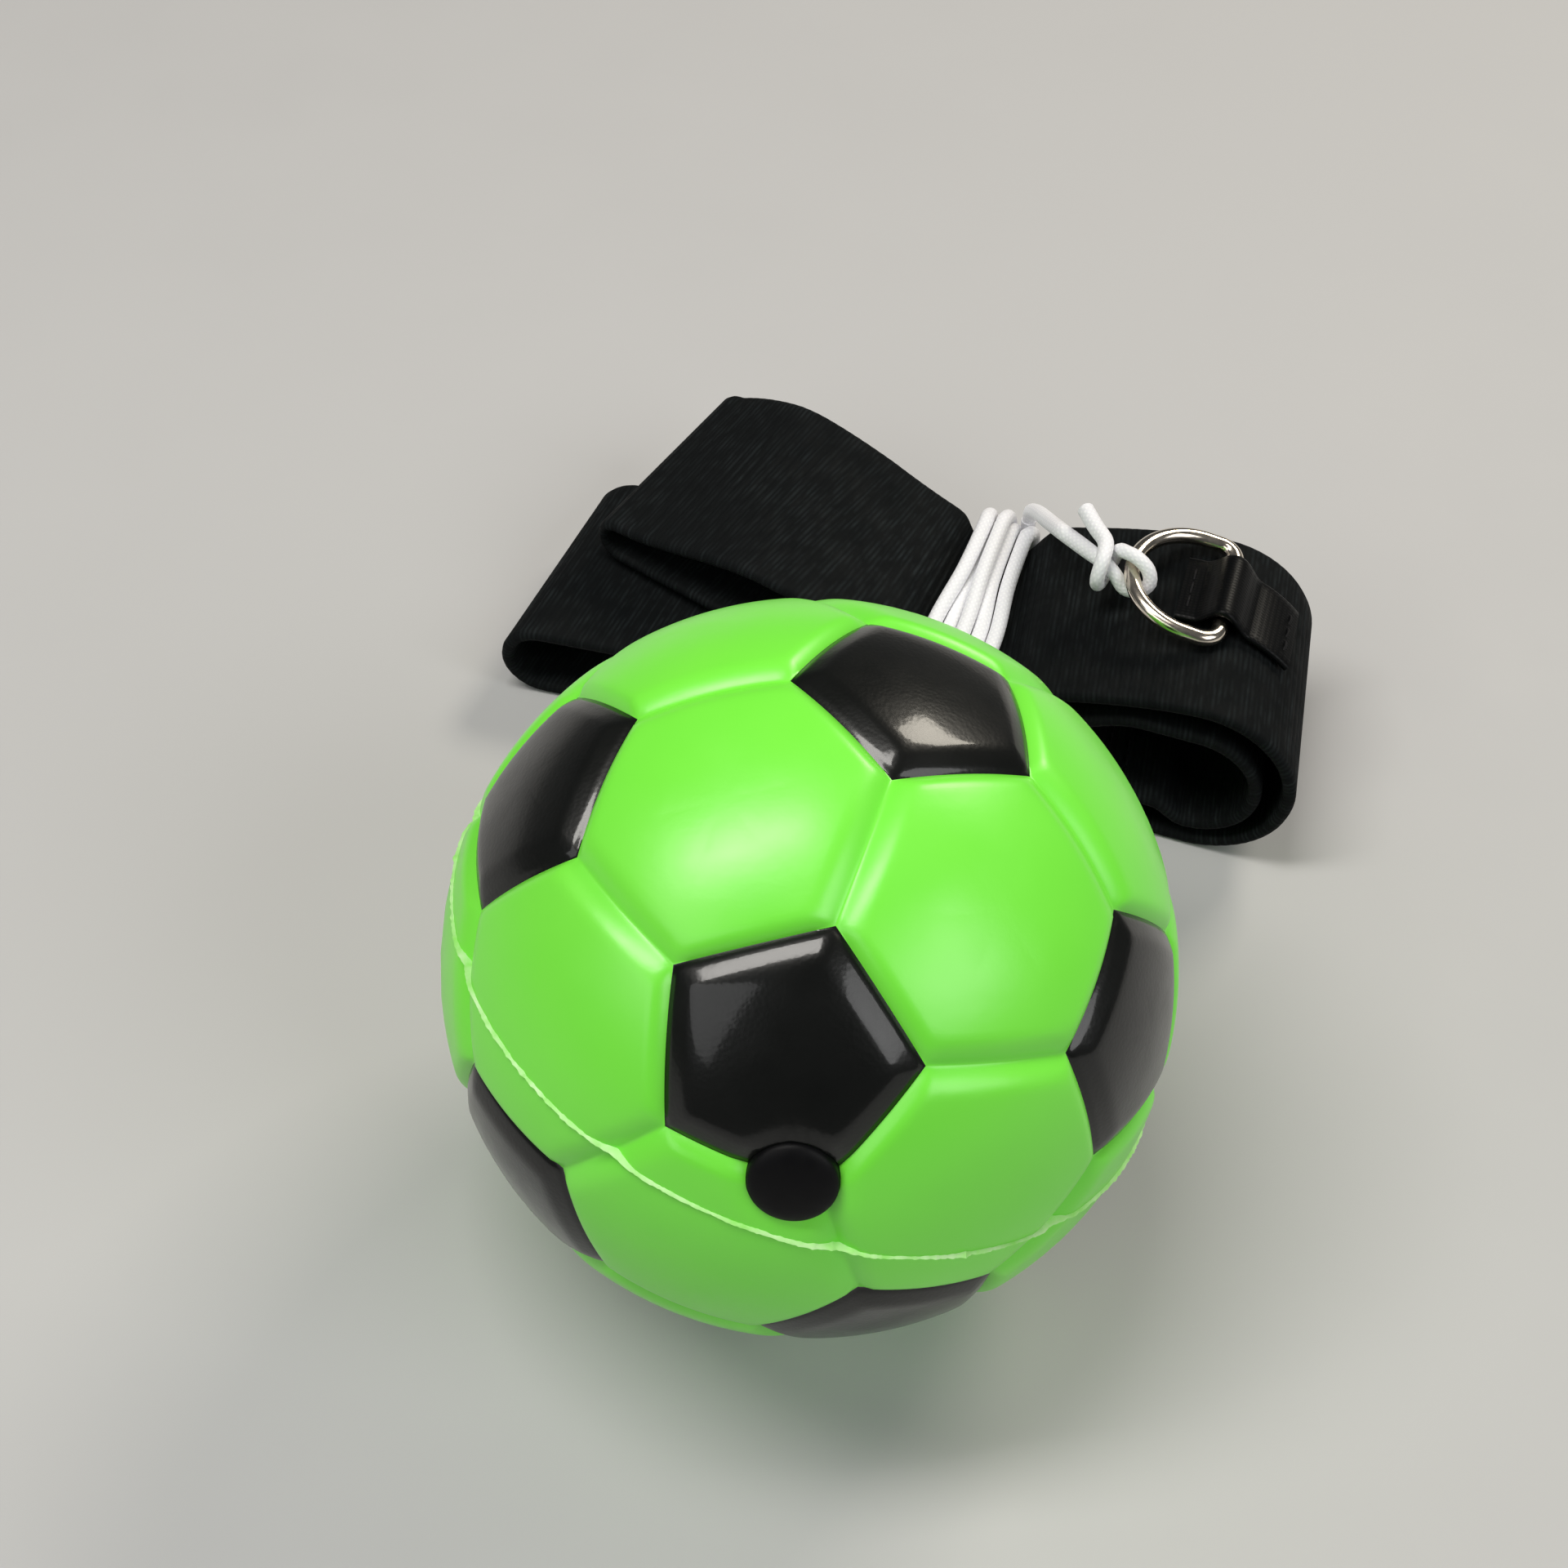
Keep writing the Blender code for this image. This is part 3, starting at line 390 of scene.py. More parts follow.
def tube(name, route, diameter, finish, sides=CORD_SIDES, closed=False, slim=None):
    """A round tube along a route, with plain caps unless it is closed. Its UVs are metres along and round it.

    slim(share) scales the diameter at a share of the route.
    """
    count = len(route)
    along = lengths_along(route + route[:1] if closed else route)
    points = []
    normal = None
    for k, place in enumerate(route):
        after = route[(k + 1) % count] if closed else route[min(k + 1, count - 1)]
        before = route[k - 1] if closed or k else route[0]
        run = (after - before).normalized()
        normal = run.orthogonal() if normal is None else normal - run * normal.dot(run)
        normal.normalize()
        side = run.cross(normal)
        radius = diameter / 2 * (slim(along[k] / along[-1]) if slim else 1.0)
        points += [place + x * normal + y * side for x, y in circle(radius, sides)]
    faces, corners = ring_faces(count, sides, closed)
    pitch = pi * diameter / sides
    uvs = [(along[k], 0.0 if len(face) > 4 else pitch * a) for face in corners for k, a in face]
    return mesh_piece(name, points, faces, [finish], uvs=uvs, sharp=TUBE_SHARP)


def turned(name, profile, finish, place, axis):
    """A solid of revolution about an axis through a place. The profile runs from the axis back to it."""
    turn = axis.to_track_quat("Z", "Y").to_matrix()
    rings = profile[1:-1]
    points = [(x, y, height) for radius, height in rings for x, y in circle(radius, TURNED_STEPS)]
    top, last = len(points), len(points) - TURNED_STEPS
    points += [(0, 0, profile[0][1]), (0, 0, profile[-1][1])]
    faces = [face[::-1] for face in ring_faces(len(rings), TURNED_STEPS, False)[0][:-2]]
    for step in range(TURNED_STEPS):
        after = (step + 1) % TURNED_STEPS
        faces += [(top, step, after), (top + 1, last + after, last + step)]
    return mesh_piece(name, [place + turn @ Vector(point) for point in points], faces, [finish])


def cut(piece, cutter):
    """Takes the cutter out of the piece for good, and removes the cutter."""
    boolean = piece.modifiers.new("cut", "BOOLEAN")
    boolean.operation = "DIFFERENCE"
    boolean.solver = "EXACT"
    boolean.object = cutter
    graph = bpy.context.evaluated_depsgraph_get()
    result = bpy.data.meshes.new_from_object(piece.evaluated_get(graph))
    piece.modifiers.clear()
    piece.data = result
    bpy.data.objects.remove(cutter)
    result.shade_smooth()
    result.set_sharp_from_angle(angle=radians(SHARP))


# Materials


class Finish:
    """A material of one Principled shader. Its methods link in what varies over the surface."""

    def __init__(self, name, colour, roughness, **sockets):
        self.material = bpy.data.materials.new(name)
        self.material.use_nodes = True
        self.tree = self.material.node_tree
        self.inputs = self.tree.nodes["Principled BSDF"].inputs
        self.inputs["Base Color"].default_value = (*colour, 1.0)
        self.inputs["Roughness"].default_value = roughness
        for key, value in sockets.items():
            self.inputs[key.replace("_", " ").title().replace("Ior", "IOR")].default_value = value

    def node(self, kind, inputs, **settings):
        """A new node's outputs. Each of its inputs takes a value or another node's output."""
        made = self.tree.nodes.new("ShaderNode" + kind)
        for key, value in settings.items():
            setattr(made, key, value)
        for key, value in inputs.items():
            if isinstance(value, bpy.types.NodeSocket):
                self.tree.links.new(value, made.inputs[key])
            else:
                made.inputs[key].default_value = value
        return made.outputs

    def place(self):
        return self.node("TexCoord", {})["Object"]

    def weave(self):
        return self.node("UVMap", {}, uv_map="weave")["UV"]

    def noise(self, scale):
        """Noise with this many features to the metre."""
        return self.node("TexNoise", {"Vector": self.place(), "Scale": scale, "Detail": NOISE_DETAIL})["Fac"]

    def wave(self, place, pitch, direction, distortion=0.0):
        """Sine bands of this pitch, in metres, along one axis of a place in metres."""
        bands = {"Vector": place, "Scale": WAVE_PITCH / pitch, "Distortion": distortion, "Detail": 0.0}
        return self.node("TexWave", bands, bands_direction=direction)["Fac"]

    def product(self, a, b):
        return self.node("Math", {0: a, 1: b}, operation="MULTIPLY")[0]

    def spread(self, value, low, high, start=NOISE_LOW, end=NOISE_HIGH):
        ends = {"From Min": start, "From Max": end, "To Min": low, "To Max": high}
        return self.node("MapRange", {"Value": value, **ends})["Result"]

    def paint(self, share, first, second):
        inputs = {"Factor": share, MIX_FIRST: (*first, 1.0), MIX_SECOND: (*second, 1.0)}
        mix = self.node("Mix", inputs, data_type="RGBA")
        self.tree.links.new(mix[MIX_RESULT], self.inputs["Base Color"])

    def roughen(self, share, low, high, **ends):
        self.tree.links.new(self.spread(share, low, high, **ends), self.inputs["Roughness"])

    def bump(self, height, depth, strength, under=None, socket="Normal"):
        inputs = {"Height": height, "Distance": depth, "Strength": strength}
        if under:
            inputs["Normal"] = under
        normal = self.node("Bump", inputs)["Normal"]
        self.tree.links.new(normal, self.inputs[socket])
        return normal


def foam_green():
    foam = Finish("foam_green", (0.19, 0.82, 0.055), roughness=0.32, specular_ior_level=0.6)
    patch = foam.spread(foam.noise(45.0), low=0.0, high=1.0)
    foam.paint(patch, (0.175, 0.80, 0.05), (0.205, 0.84, 0.06))
    foam.roughen(foam.noise(160.0), low=0.28, high=0.36)
    skin = foam.bump(foam.noise(900.0), depth=0.02 * MM, strength=0.5)
    foam.bump(foam.noise(3800.0), depth=0.006 * MM, strength=0.5, under=skin)
    return foam


def panel_black():
    """Gloss paint with a pebbled grain, under a smoother varnish."""
    black = (0.003, 0.0035, 0.003)
    coat = {"coat_weight": 0.5, "coat_roughness": 0.1}
    paint = Finish("panel_black", black, roughness=0.34, specular_ior_level=0.2, **coat)
    place = paint.place()
    warp = paint.node("TexNoise", {"Vector": place, "Scale": 700.0})["Color"]
    moved_by = paint.node("VectorMath", {0: warp, "Scale": 0.25 * MM}, operation="SCALE")[0]
    grain_at = paint.node("VectorMath", {0: place, 1: moved_by}, operation="ADD")[0]
    cells = {"Vector": grain_at, "Scale": 2900.0, "Smoothness": 0.6}
    pebble = paint.node("TexVoronoi", cells, feature="SMOOTH_F1")["Distance"]
    grain = paint.bump(pebble, depth=0.04 * MM, strength=0.22)
    paint.bump(paint.noise(380.0), depth=0.03 * MM, strength=0.08, under=grain)
    paint.bump(pebble, depth=0.04 * MM, strength=0.06, socket="Coat Normal")
    paint.roughen(paint.noise(260.0), low=0.30, high=0.38)
    return paint


def flash_green():
    flash = Finish("flash_green", (0.55, 0.88, 0.40), roughness=0.5)
    patch = flash.spread(flash.noise(500.0), low=0.0, high=1.0)
    flash.paint(patch, (0.30, 0.82, 0.14), (0.60, 0.90, 0.45))
    return flash


def plug_black():
    plastic = Finish("plug_black", (0.002, 0.002, 0.0025), roughness=0.5, specular_ior_level=0.15)
    plastic.roughen(plastic.noise(700.0), low=0.44, high=0.58)
    plastic.bump(plastic.noise(5200.0), depth=0.006 * MM, strength=0.6)
    return plastic


def cord_white():
    """A braid: two waves that cross at a slant, with painted shade in its valleys."""
    cord = Finish("cord_white", (0.86, 0.86, 0.89), roughness=0.75, sheen_weight=0.2)
    parts = cord.node("SeparateXYZ", {"Vector": cord.weave()})
    both_ways = {0: parts["X"], 1: parts["Y"]}
    left = cord.node("Math", both_ways, operation="ADD")[0]
    right = cord.node("Math", both_ways, operation="SUBTRACT")[0]
    crossed = cord.node("CombineXYZ", {"X": left, "Y": right})[0]
    braid = cord.product(*[cord.wave(crossed, pitch=0.7 * MM, direction=axis) for axis in ("X", "Y")])
    cord.bump(braid, depth=0.05 * MM, strength=0.6)
    # Painted shade: the braid's valleys are painted darker and bluer than its strands.
    cord.paint(braid, (0.80, 0.80, 0.84), (0.92, 0.92, 0.94))
    return cord


def band_black():
    """Woven rows and picks, with a painted sheen of paler streaks and patches on the picks."""
    band = Finish("band_black", (0.004, 0.005, 0.006), roughness=0.8, specular_ior_level=0.12)
    uv = band.weave()
    rows = band.wave(uv, pitch=1.45 * MM, direction="Y", distortion=0.4)
    picks = band.wave(uv, pitch=RIB_PITCH / 2, direction="X")
    under = band.bump(band.product(rows, picks), depth=0.05 * MM, strength=0.5)
    band.bump(band.noise(4200.0), depth=0.02 * MM, strength=0.5, under=under)
    stretched = band.node("VectorMath", {0: uv, 1: (1000.0, 380.0, 1.0)}, operation="MULTIPLY")[0]
    streak = band.node("TexNoise", {"Vector": stretched, "Scale": 1.0, "Detail": 2.0})["Fac"]
    # Painted sheen: paler streaks and patches on the picks stand in for light glancing off the fibres.
    painted_sheen = band.product(picks, band.spread(streak, low=0.05, high=1.0, start=0.42, end=0.75))
    painted_sheen = band.product(painted_sheen, band.spread(band.noise(90.0), low=0.35, high=1.0))
    band.paint(painted_sheen, (0.002, 0.0028, 0.0032), (0.015, 0.0195, 0.021))
    band.roughen(band.noise(300.0), low=0.72, high=0.88)
    return band


def nickel():
    plate = Finish("nickel", (0.80, 0.72, 0.61), roughness=0.16, metallic=1.0)
    plate.roughen(plate.noise(900.0), low=0.12, high=0.24)
    plate.bump(plate.noise(1600.0), depth=0.008 * MM, strength=0.35)
    return plate


def tab_black():
    tab = Finish("tab_black", (0.002, 0.0023, 0.0026), roughness=0.42, specular_ior_level=0.12)
    uv = tab.weave()
    picks = tab.wave(uv, pitch=0.55 * MM, direction="X")
    ribs = tab.product(picks, tab.wave(uv, pitch=0.4 * MM, direction="Y"))
    tab.bump(ribs, depth=0.025 * MM, strength=0.5)
    tab.roughen(ribs, low=0.36, high=0.5, start=0.0, end=1.0)
    return tab


def thread_black():
    thread = Finish("thread_black", (0.005, 0.005, 0.006), roughness=0.6, specular_ior_level=0.15)
    twist = thread.wave(thread.weave(), pitch=0.3 * MM, direction="DIAGONAL")
    thread.bump(twist, depth=0.02 * MM, strength=0.6)
    return thread


def floor_pale():
    floor = Finish("floor_pale", (0.48, 0.48, 0.48), roughness=0.7)
    floor.roughen(floor.noise(40.0), low=0.62, high=0.78)
    return floor


# Ball


def panel_corners():
    """Corner directions of the football pattern's panels: twelve with five corners, then twenty with six."""
    golden = (1 + sqrt(5)) / 2
    tips = []
    for one in (1, -1):
        for long in (golden, -golden):
            tips += [(0, one, long), (one, long, 0), (long, 0, one)]
    turn = Euler([radians(a) for a in PATTERN_TURN]).to_matrix()
    tips = [turn @ Vector(tip).normalized() for tip in tips]
    count = len(tips)
    near = [[j for j in range(count) if i != j and tips[i].dot(tips[j]) > 0] for i in range(count)]

    def corner(i, j):
        return (2 * tips[i] + tips[j]).normalized()

    panels = []
    for i in range(count):
        side = tips[i].orthogonal().normalized()
        up = tips[i].cross(side)
        around = sorted(near[i], key=lambda j: atan2(tips[j].dot(up), tips[j].dot(side)))
        panels.append([corner(i, j) for j in around])
    for i in range(count):
        for j in near[i]:
            for k in near[j]:
                if i < j < k and k in near[i]:
                    pairs = ((i, j), (j, i), (j, k), (k, j), (k, i), (i, k))
                    panels.append([corner(a, b) for a, b in pairs])
    return panels


class Panel:
    """One panel of the pattern, with the planes of its edges and how its skin dips towards each."""

    def __init__(self, corners):
        self.black = len(corners) == 5
        self.sides = list(zip(corners, corners[1:] + corners[:1]))
        self.middle = sum(corners, Vector()).normalized()
        self.edges = []
        for k, (a, b) in enumerate(self.sides):
            plane = a.cross(b).normalized()
            if plane.dot(self.middle) < 0:
                plane.negate()
            beside_black = not self.black and k % 2 == 1
            self.edges.append((plane, beside_black))

    def edge_distances(self, way):
        return [BALL_RADIUS * asin(max(-1.0, min(1.0, plane.dot(way)))) for plane, _ in self.edges]

    def dip(self, way):
        """How far the skin lies under the ball's full radius in this direction."""
        total = 0.0
        for (_, beside_black), far in zip(self.edges, self.edge_distances(way)):
            total += self.edge_dip(max(0.0, far), beside_black) ** CORNER_POWER
        off_plug = BALL_RADIUS * way.angle(BALL_AXIS) - PLUG_HEAD_RADIUS
        pucker = PUCKER_DEPTH * smoothstep(1 - off_plug / PUCKER_WIDTH) ** 2
        return min(SEAM_DEPTH, total ** (1 / CORNER_POWER)) + pucker

    def edge_dip(self, far, beside_black):
        if self.black:
            inside = BEVEL_WIDTH - far
            bevel = BEVEL_SLOPE * (inside + hypot(inside, BEVEL_ROUND)) / 2
            wall = max(0.0, 1 - far / WALL_WIDTH) ** 2
            return bevel + max(0.0, SEAM_DEPTH - bevel) * wall
        if beside_black:
            return SEAM_DEPTH * max(0.0, 1 - far / RIM_HALF_WIDTH) ** 2
        soft = hypot(far, SEAM_ROUND) - SEAM_ROUND
        return SEAM_DEPTH * max(0.0, 1 - soft / SEAM_HALF_WIDTH) ** SEAM_POWER


PANELS = [Panel(corners) for corners in panel_corners()]


def panel_at(way):
    return max(PANELS, key=lambda panel: min(panel.edge_distances(way)))


def add_panel(panel, points, faces, finish):
    """Rings of points from the panel's edges in to its middle."""
    edge = sum(panel.sides[0], Vector())
    reach = BALL_RADIUS * panel.middle.angle(edge)
    rim = [a.lerp(b, step / EDGE_STEPS) for a, b in panel.sides for step in range(EDGE_STEPS)]
    first = len(points)
    shares = [1 - offset * MM / reach for offset in RING_OFFSETS if offset * MM < LAST_RING_SHARE * reach]
    for share in shares:
        for place in rim:
            way = panel.middle.lerp(place.normalized(), share).normalized()
            points.append(way * (BALL_RADIUS - panel.dip(way)))
    points.append(panel.middle * BALL_RADIUS)
    count = len(rim)
    middle = len(shares) * count
    last = middle - count
    skin = ring_faces(len(shares), count, False)[0][:-2]
    skin += [(last + k, last + (k + 1) % count, middle) for k in range(count)]
    faces += [[first + corner for corner in face] for face in skin]
    finish += [int(panel.black)] * len(skin)


def make_ball(green, black):
    points, faces, finish = [], [], []
    for panel in PANELS:
        add_panel(panel, points, faces, finish)
    ball = mesh_piece("foam_ball", [BALL_CENTRE + p for p in points], faces, [green, black], finish)
    shape = bmesh.new()
    shape.from_mesh(ball.data)
    bmesh.ops.remove_doubles(shape, verts=shape.verts, dist=WELD)
    bmesh.ops.recalc_face_normals(shape, faces=shape.faces)
    shape.to_mesh(ball.data)
    shape.free()
    head = PLUG_HEAD_RADIUS + SEAT_GAP
    socket = PLUG_STEM_RADIUS + CLEARANCE
    seat = PLUG_UNDERSIDE - CLEARANCE
    chamber = KNOT_HALF_LONG + CORD_RADIUS + CLEARANCE
    chamber_top = EYE_HEIGHT + LOOP_RADIUS + CORD_RADIUS
    chamber_end = KNOT_END - 2 * CORD_DIAMETER
    past = BALL_RADIUS + CUT_OVERRUN
    profile = [(0, past), (head, past), (head, seat), (socket, seat), (socket, chamber_top)]
    profile += [(chamber, chamber_top), (chamber, chamber_end), (CORD_BORE_RADIUS, chamber_end)]
    profile += [(CORD_BORE_RADIUS, -past), (0, -past)]
    cut(ball, turned("bore", profile, green, BALL_CENTRE, BALL_AXIS))
    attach(ball, "foam_ball")
    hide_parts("ball")


def make_flash(pale, black):
    """The thin raised line that the mould's joint leaves round the ball, pale on green and black on black."""
    normal = FLASH_NORMAL.normalized()
    side = normal.orthogonal().normalized()
    up = normal.cross(side)
    round_share = sqrt(1 - FLASH_OFFSET**2)
    blob_scale, blob_share = FLASH_BLOB_NOISE
    points, finish = [], []
    for x, y in circle(round_share, FLASH_STEPS):
        way = FLASH_OFFSET * normal + x * side + y * up
        panel = panel_at(way)
        finish.append(int(panel.black))
        ragged = 1 + sum(share * noise.noise(way * scale) for scale, share in FLASH_NOISES)
        blob = blob_share * max(0.0, noise.noise(way * blob_scale) - FLASH_BLOB_FROM)
        ragged = max(FLASH_LEAST, ragged) + blob
        wander = FLASH_WANDER * noise.noise(way * FLASH_WANDER_SCALE)
        sunk = panel.dip(way)
        for across, high in FLASH_SECTION:
            aside = across * FLASH_HALF_WIDTH * ragged + wander
            at = (way + normal * aside / BALL_RADIUS).normalized()
            bridge = FLASH_BRIDGE * sunk if high > 0 else 0.0
            points.append(BALL_CENTRE + at * (BALL_RADIUS - sunk + bridge + high * FLASH_HEIGHT * ragged))
    faces, corners = ring_faces(FLASH_STEPS, len(FLASH_SECTION), True)
    flash = mesh_piece("mould_flash", points, faces, [pale, black], [finish[face[0][0]] for face in corners])
    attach(flash, "foam_ball")


# Stopper plug and the cord in the ball, along the bore from the ball's centre

PLUG_UNDERSIDE = BALL_RADIUS - PLUG_SINK - PLUG_RIM
STEM_END = PLUG_UNDERSIDE - PLUG_STEM_LENGTH
EYE_HEIGHT = STEM_END + EYE_TO_END
LOOP_RADIUS = PLUG_BLADE_HALF + CLEARANCE + CORD_RADIUS
LEG_HALF = CORD_RADIUS + CLEARANCE
KNOT_HALF_LONG = LEG_HALF + 2 * CORD_RADIUS + CLEARANCE
KNOT_HALF_SHORT = 2 * CORD_RADIUS + CLEARANCE
KNOT_START = EYE_HEIGHT - KNOT_DROP
KNOT_END = KNOT_START - KNOT_TURNS * KNOT_PITCH
BORE_TURN = Matrix.Rotation(atan2(-BALL_AXIS.y, BALL_AXIS.z), 3, "X")


def in_bore(x, y, z):
    return BALL_CENTRE + BORE_TURN @ Vector((x, y, z))


def make_plug(finish):
    rim_top = PLUG_UNDERSIDE + PLUG_RIM
    crown = []
    for side, up in arc(0, 0, 1, 90, 0, PLUG_CROWN_STEPS)[1:]:
        shape = [max(0.0, part) ** PLUG_CROWN_POWER for part in (side, up)]
        crown.append((PLUG_HEAD_RADIUS * shape[0], rim_top + PLUG_CROWN * shape[1]))
    profile = [(0, rim_top + PLUG_CROWN), *crown, (PLUG_HEAD_RADIUS, PLUG_UNDERSIDE)]
    profile += [(PLUG_STEM_RADIUS, PLUG_UNDERSIDE), (PLUG_STEM_RADIUS, STEM_END + PLUG_CHAMFER)]
    profile += [(PLUG_STEM_RADIUS - PLUG_CHAMFER, STEM_END), (0, STEM_END)]
    plug = turned("stopper_plug_visual", profile, finish, BALL_CENTRE, BALL_AXIS)
    reach = 2 * PLUG_STEM_RADIUS
    heights = (STEM_END - PLUG_RIM, STEM_END + PLUG_BLADE_LENGTH)
    faces = [(0, 1, 3, 2), (4, 6, 7, 5), (0, 4, 5, 1), (2, 3, 7, 6), (0, 2, 6, 4), (1, 5, 7, 3)]
    for flat in ((-reach, -PLUG_BLADE_HALF), (PLUG_BLADE_HALF, reach)):
        corners = [in_bore(x, y, z) for x in flat for y in (-reach, reach) for z in heights]
        cut(plug, mesh_piece("flat", corners, faces, [finish]))
    drill = [(0, reach), (EYE_RADIUS, reach), (EYE_RADIUS, -reach), (0, -reach)]
    cut(plug, turned("drill", drill, finish, in_bore(0, 0, EYE_HEIGHT), BORE_TURN @ Vector((1, 0, 0))))
    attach(plug, "stopper")
    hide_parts("stopper_plug")


def make_inner_cord(finish):
    """Up the bore, through the plug's eye and down again, with the knot that closes the loop."""
    low = -BALL_RADIUS + SEAM_DEPTH
    level = EYE_HEIGHT - LOOP_RADIUS
    straight = KNOT_END - CORD_DIAMETER
    knot_heights = (KNOT_START, (KNOT_START + KNOT_END) / 2, KNOT_END)
    up = [in_bore(0, 0, z) for z in (low, low / 2, 0, straight - 2 * CORD_DIAMETER)]
    up += [in_bore(-LEG_HALF, 0, z) for z in reversed(knot_heights)]
    arch = [in_bore(x, 0, z) for x, z in arc(0, level, LOOP_RADIUS, 180, 0, ARCH_STEPS)]
    down = [in_bore(LEG_HALF, 0, z) for z in knot_heights]
    route = smooth_route([*up, *arch, *down], CORD_STEP)
    core = tube("cord_in_ball", route, CORD_DIAMETER, finish)
    coil = []
    for k in range(round(COIL_STEPS * KNOT_TURNS) + 1):
        turn = 2 * pi * k / COIL_STEPS
        height = KNOT_START - KNOT_PITCH * k / COIL_STEPS
        coil.append(in_bore(KNOT_HALF_LONG * cos(turn), KNOT_HALF_SHORT * sin(turn), height))
    knot = tube("cord_knot", coil, CORD_DIAMETER, finish)
    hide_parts("cord_core")
    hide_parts("stop_knot")
    for piece in (core, knot):
        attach(piece, "stopper")
    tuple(route[0])
    lengths_along(route)[-1]


# Headband

WAIST = BALL_CENTRE.xy + Vector((WAIST_SIDEWAYS, BALL_RADIUS + WAIST_BEHIND_BALL))
INNER_BOTTOM = WINDING_LIFT + TAUT_RADIUS + BOTTOM_STEP
CORD_TO_PLY = TAUT_RADIUS + CLEARANCE + HALF_THICK
WAIST_PLY = [INNER_BOTTOM + CORD_TO_PLY + (BAND_THICKNESS + PLY_GAP) * k for k in range(4)]
INNER_TOP = WAIST_PLY[3] + CORD_TO_PLY
LAP_LIFT = BAND_THICKNESS + CLEARANCE
RIGHT_PLY = [HALF_THICK, HALF_THICK + RIGHT_INNER_LIFT]
RIGHT_PLY += [RIGHT_INNER_TOP - HALF_THICK, RIGHT_HEIGHT - HALF_THICK]
LEFT_PLY = [
    [HALF_THICK, low - HALF_THICK, end - gap - 3 * HALF_THICK, crest - HALF_THICK]
    for low, end, gap, crest in zip(LOWER_TOP, UPPER_END_TOP, UPPER_END_GAP, UPPER_CREST)
]
OUTER_TURN = (RIGHT_PLY[3] - RIGHT_PLY[0]) / 2
INNER_TURN = (RIGHT_PLY[2] - RIGHT_PLY[1]) / 2
UPPER_TURN = [(gap + BAND_THICKNESS) / 2 for gap in UPPER_END_GAP]
LOWER_TURN = [(top - BAND_THICKNESS) / 2 for top in LOWER_TOP]
OUTER_TURN_AT = RIGHT_REACH - OUTER_TURN
INNER_TURN_AT = RIGHT_REACH - BAND_THICKNESS - RIGHT_NEST_GAP - INNER_TURN


def band_axis(s, branch=STRAIGHT):
    """Middle of the band in plan at s from the waist, and the direction across it."""
    bend, lean, length = (*branch, BEND_LENGTH) if s < 0 else (0.0, RIGHT_LEAN, RIGHT_LEAN_LENGTH)
    at = WAIST.copy()
    for k in range(AXIS_STEPS):
        share = min(1.0, abs(s) * (k + 0.5) / AXIS_STEPS / BEND_LENGTH)
        turn = radians(BAND_TURN + bend * share)
        at += Vector((cos(turn), sin(turn))) * s / AXIS_STEPS
    turn = radians(BAND_TURN + lean * min(1.0, abs(s) / length))
    return at, Vector((-sin(turn), cos(turn)))


def on_band(s, w, z, branch=STRAIGHT):
    at, across = band_axis(s, branch)
    return (at + across * w).to_3d() + Vector((0, 0, z))


def spread(s, reach):
    """How far the plies have opened at s: 0 under the winding, 1 from this reach on."""
    return eased(abs(s), WAIST_FLAT, reach)


def half_width(s):
    return (WAIST_WIDTH + (BAND_WIDTH - WAIST_WIDTH) * spread(s, WIDENING)) / 2


def puffed(s, reach, share=PUFF_SHARE):
    """How far the top ply has opened: a share of it right beside the winding, the rest up to this reach."""
    even = share_between(abs(s), WAIST_FLAT, reach)
    even *= 1 + PUFF_EASE - PUFF_EASE * even**2
    return share * smoothstep((abs(s) - WAIST_FLAT) / PUFF_LENGTH) + (1 - share) * even


def ply_height(ply, s, edge=NEAR):
    """Height of a ply's middle at one edge of the band, counted up from the floor ply."""
    waist = WAIST_PLY[ply]
    if s >= 0:
        opened = puffed(s, RIGHT_TOP_RISE) if ply == 3 else spread(s, RIGHT_RISE)
        return waist + (RIGHT_PLY[ply] - waist) * opened
    if ply < 3:
        return waist + (LEFT_PLY[edge][ply] - waist) * spread(s, LEFT_RISE)
    share = share_between(-s, UPPER_CREST_AT[edge], UPPER_REACH[edge] - UPPER_TURN[edge])
    droop = smoothstep(share) if edge == NEAR else share**2
    fall = (UPPER_CREST[edge] - UPPER_END_TOP[edge]) * droop
    opened = puffed(s, UPPER_RISE[edge], LEFT_PUFF_SHARE[edge])
    return waist + (LEFT_PLY[edge][ply] - waist) * opened - fall


def both(value):
    return value, value


def run(ply, start, end, branch):
    """Stations along a ply, each with s and height at the near edge and at the far edge."""
    count = max(1, round(abs(end[NEAR] - start[NEAR]) / PLY_SAMPLE))
    stations = []
    for k in range(count + 1):
        places = [a + (b - a) * k / count for a, b in zip(start, end)]
        edges = [(s, ply_height(ply, s, edge)) for edge, s in enumerate(places)]
        stations.append((*edges, branch))
    return stations


def u_turn(at, low, radius, start, end, branch):
    """Stations round a fold, with the fold's place, lower ply and radius at either edge."""
    edges = [arc(s, z + r, r, start, end, FOLD_STEPS)[1:-1] for s, z, r in zip(at, low, radius)]
    return [(near, far, branch) for near, far in zip(*edges)]


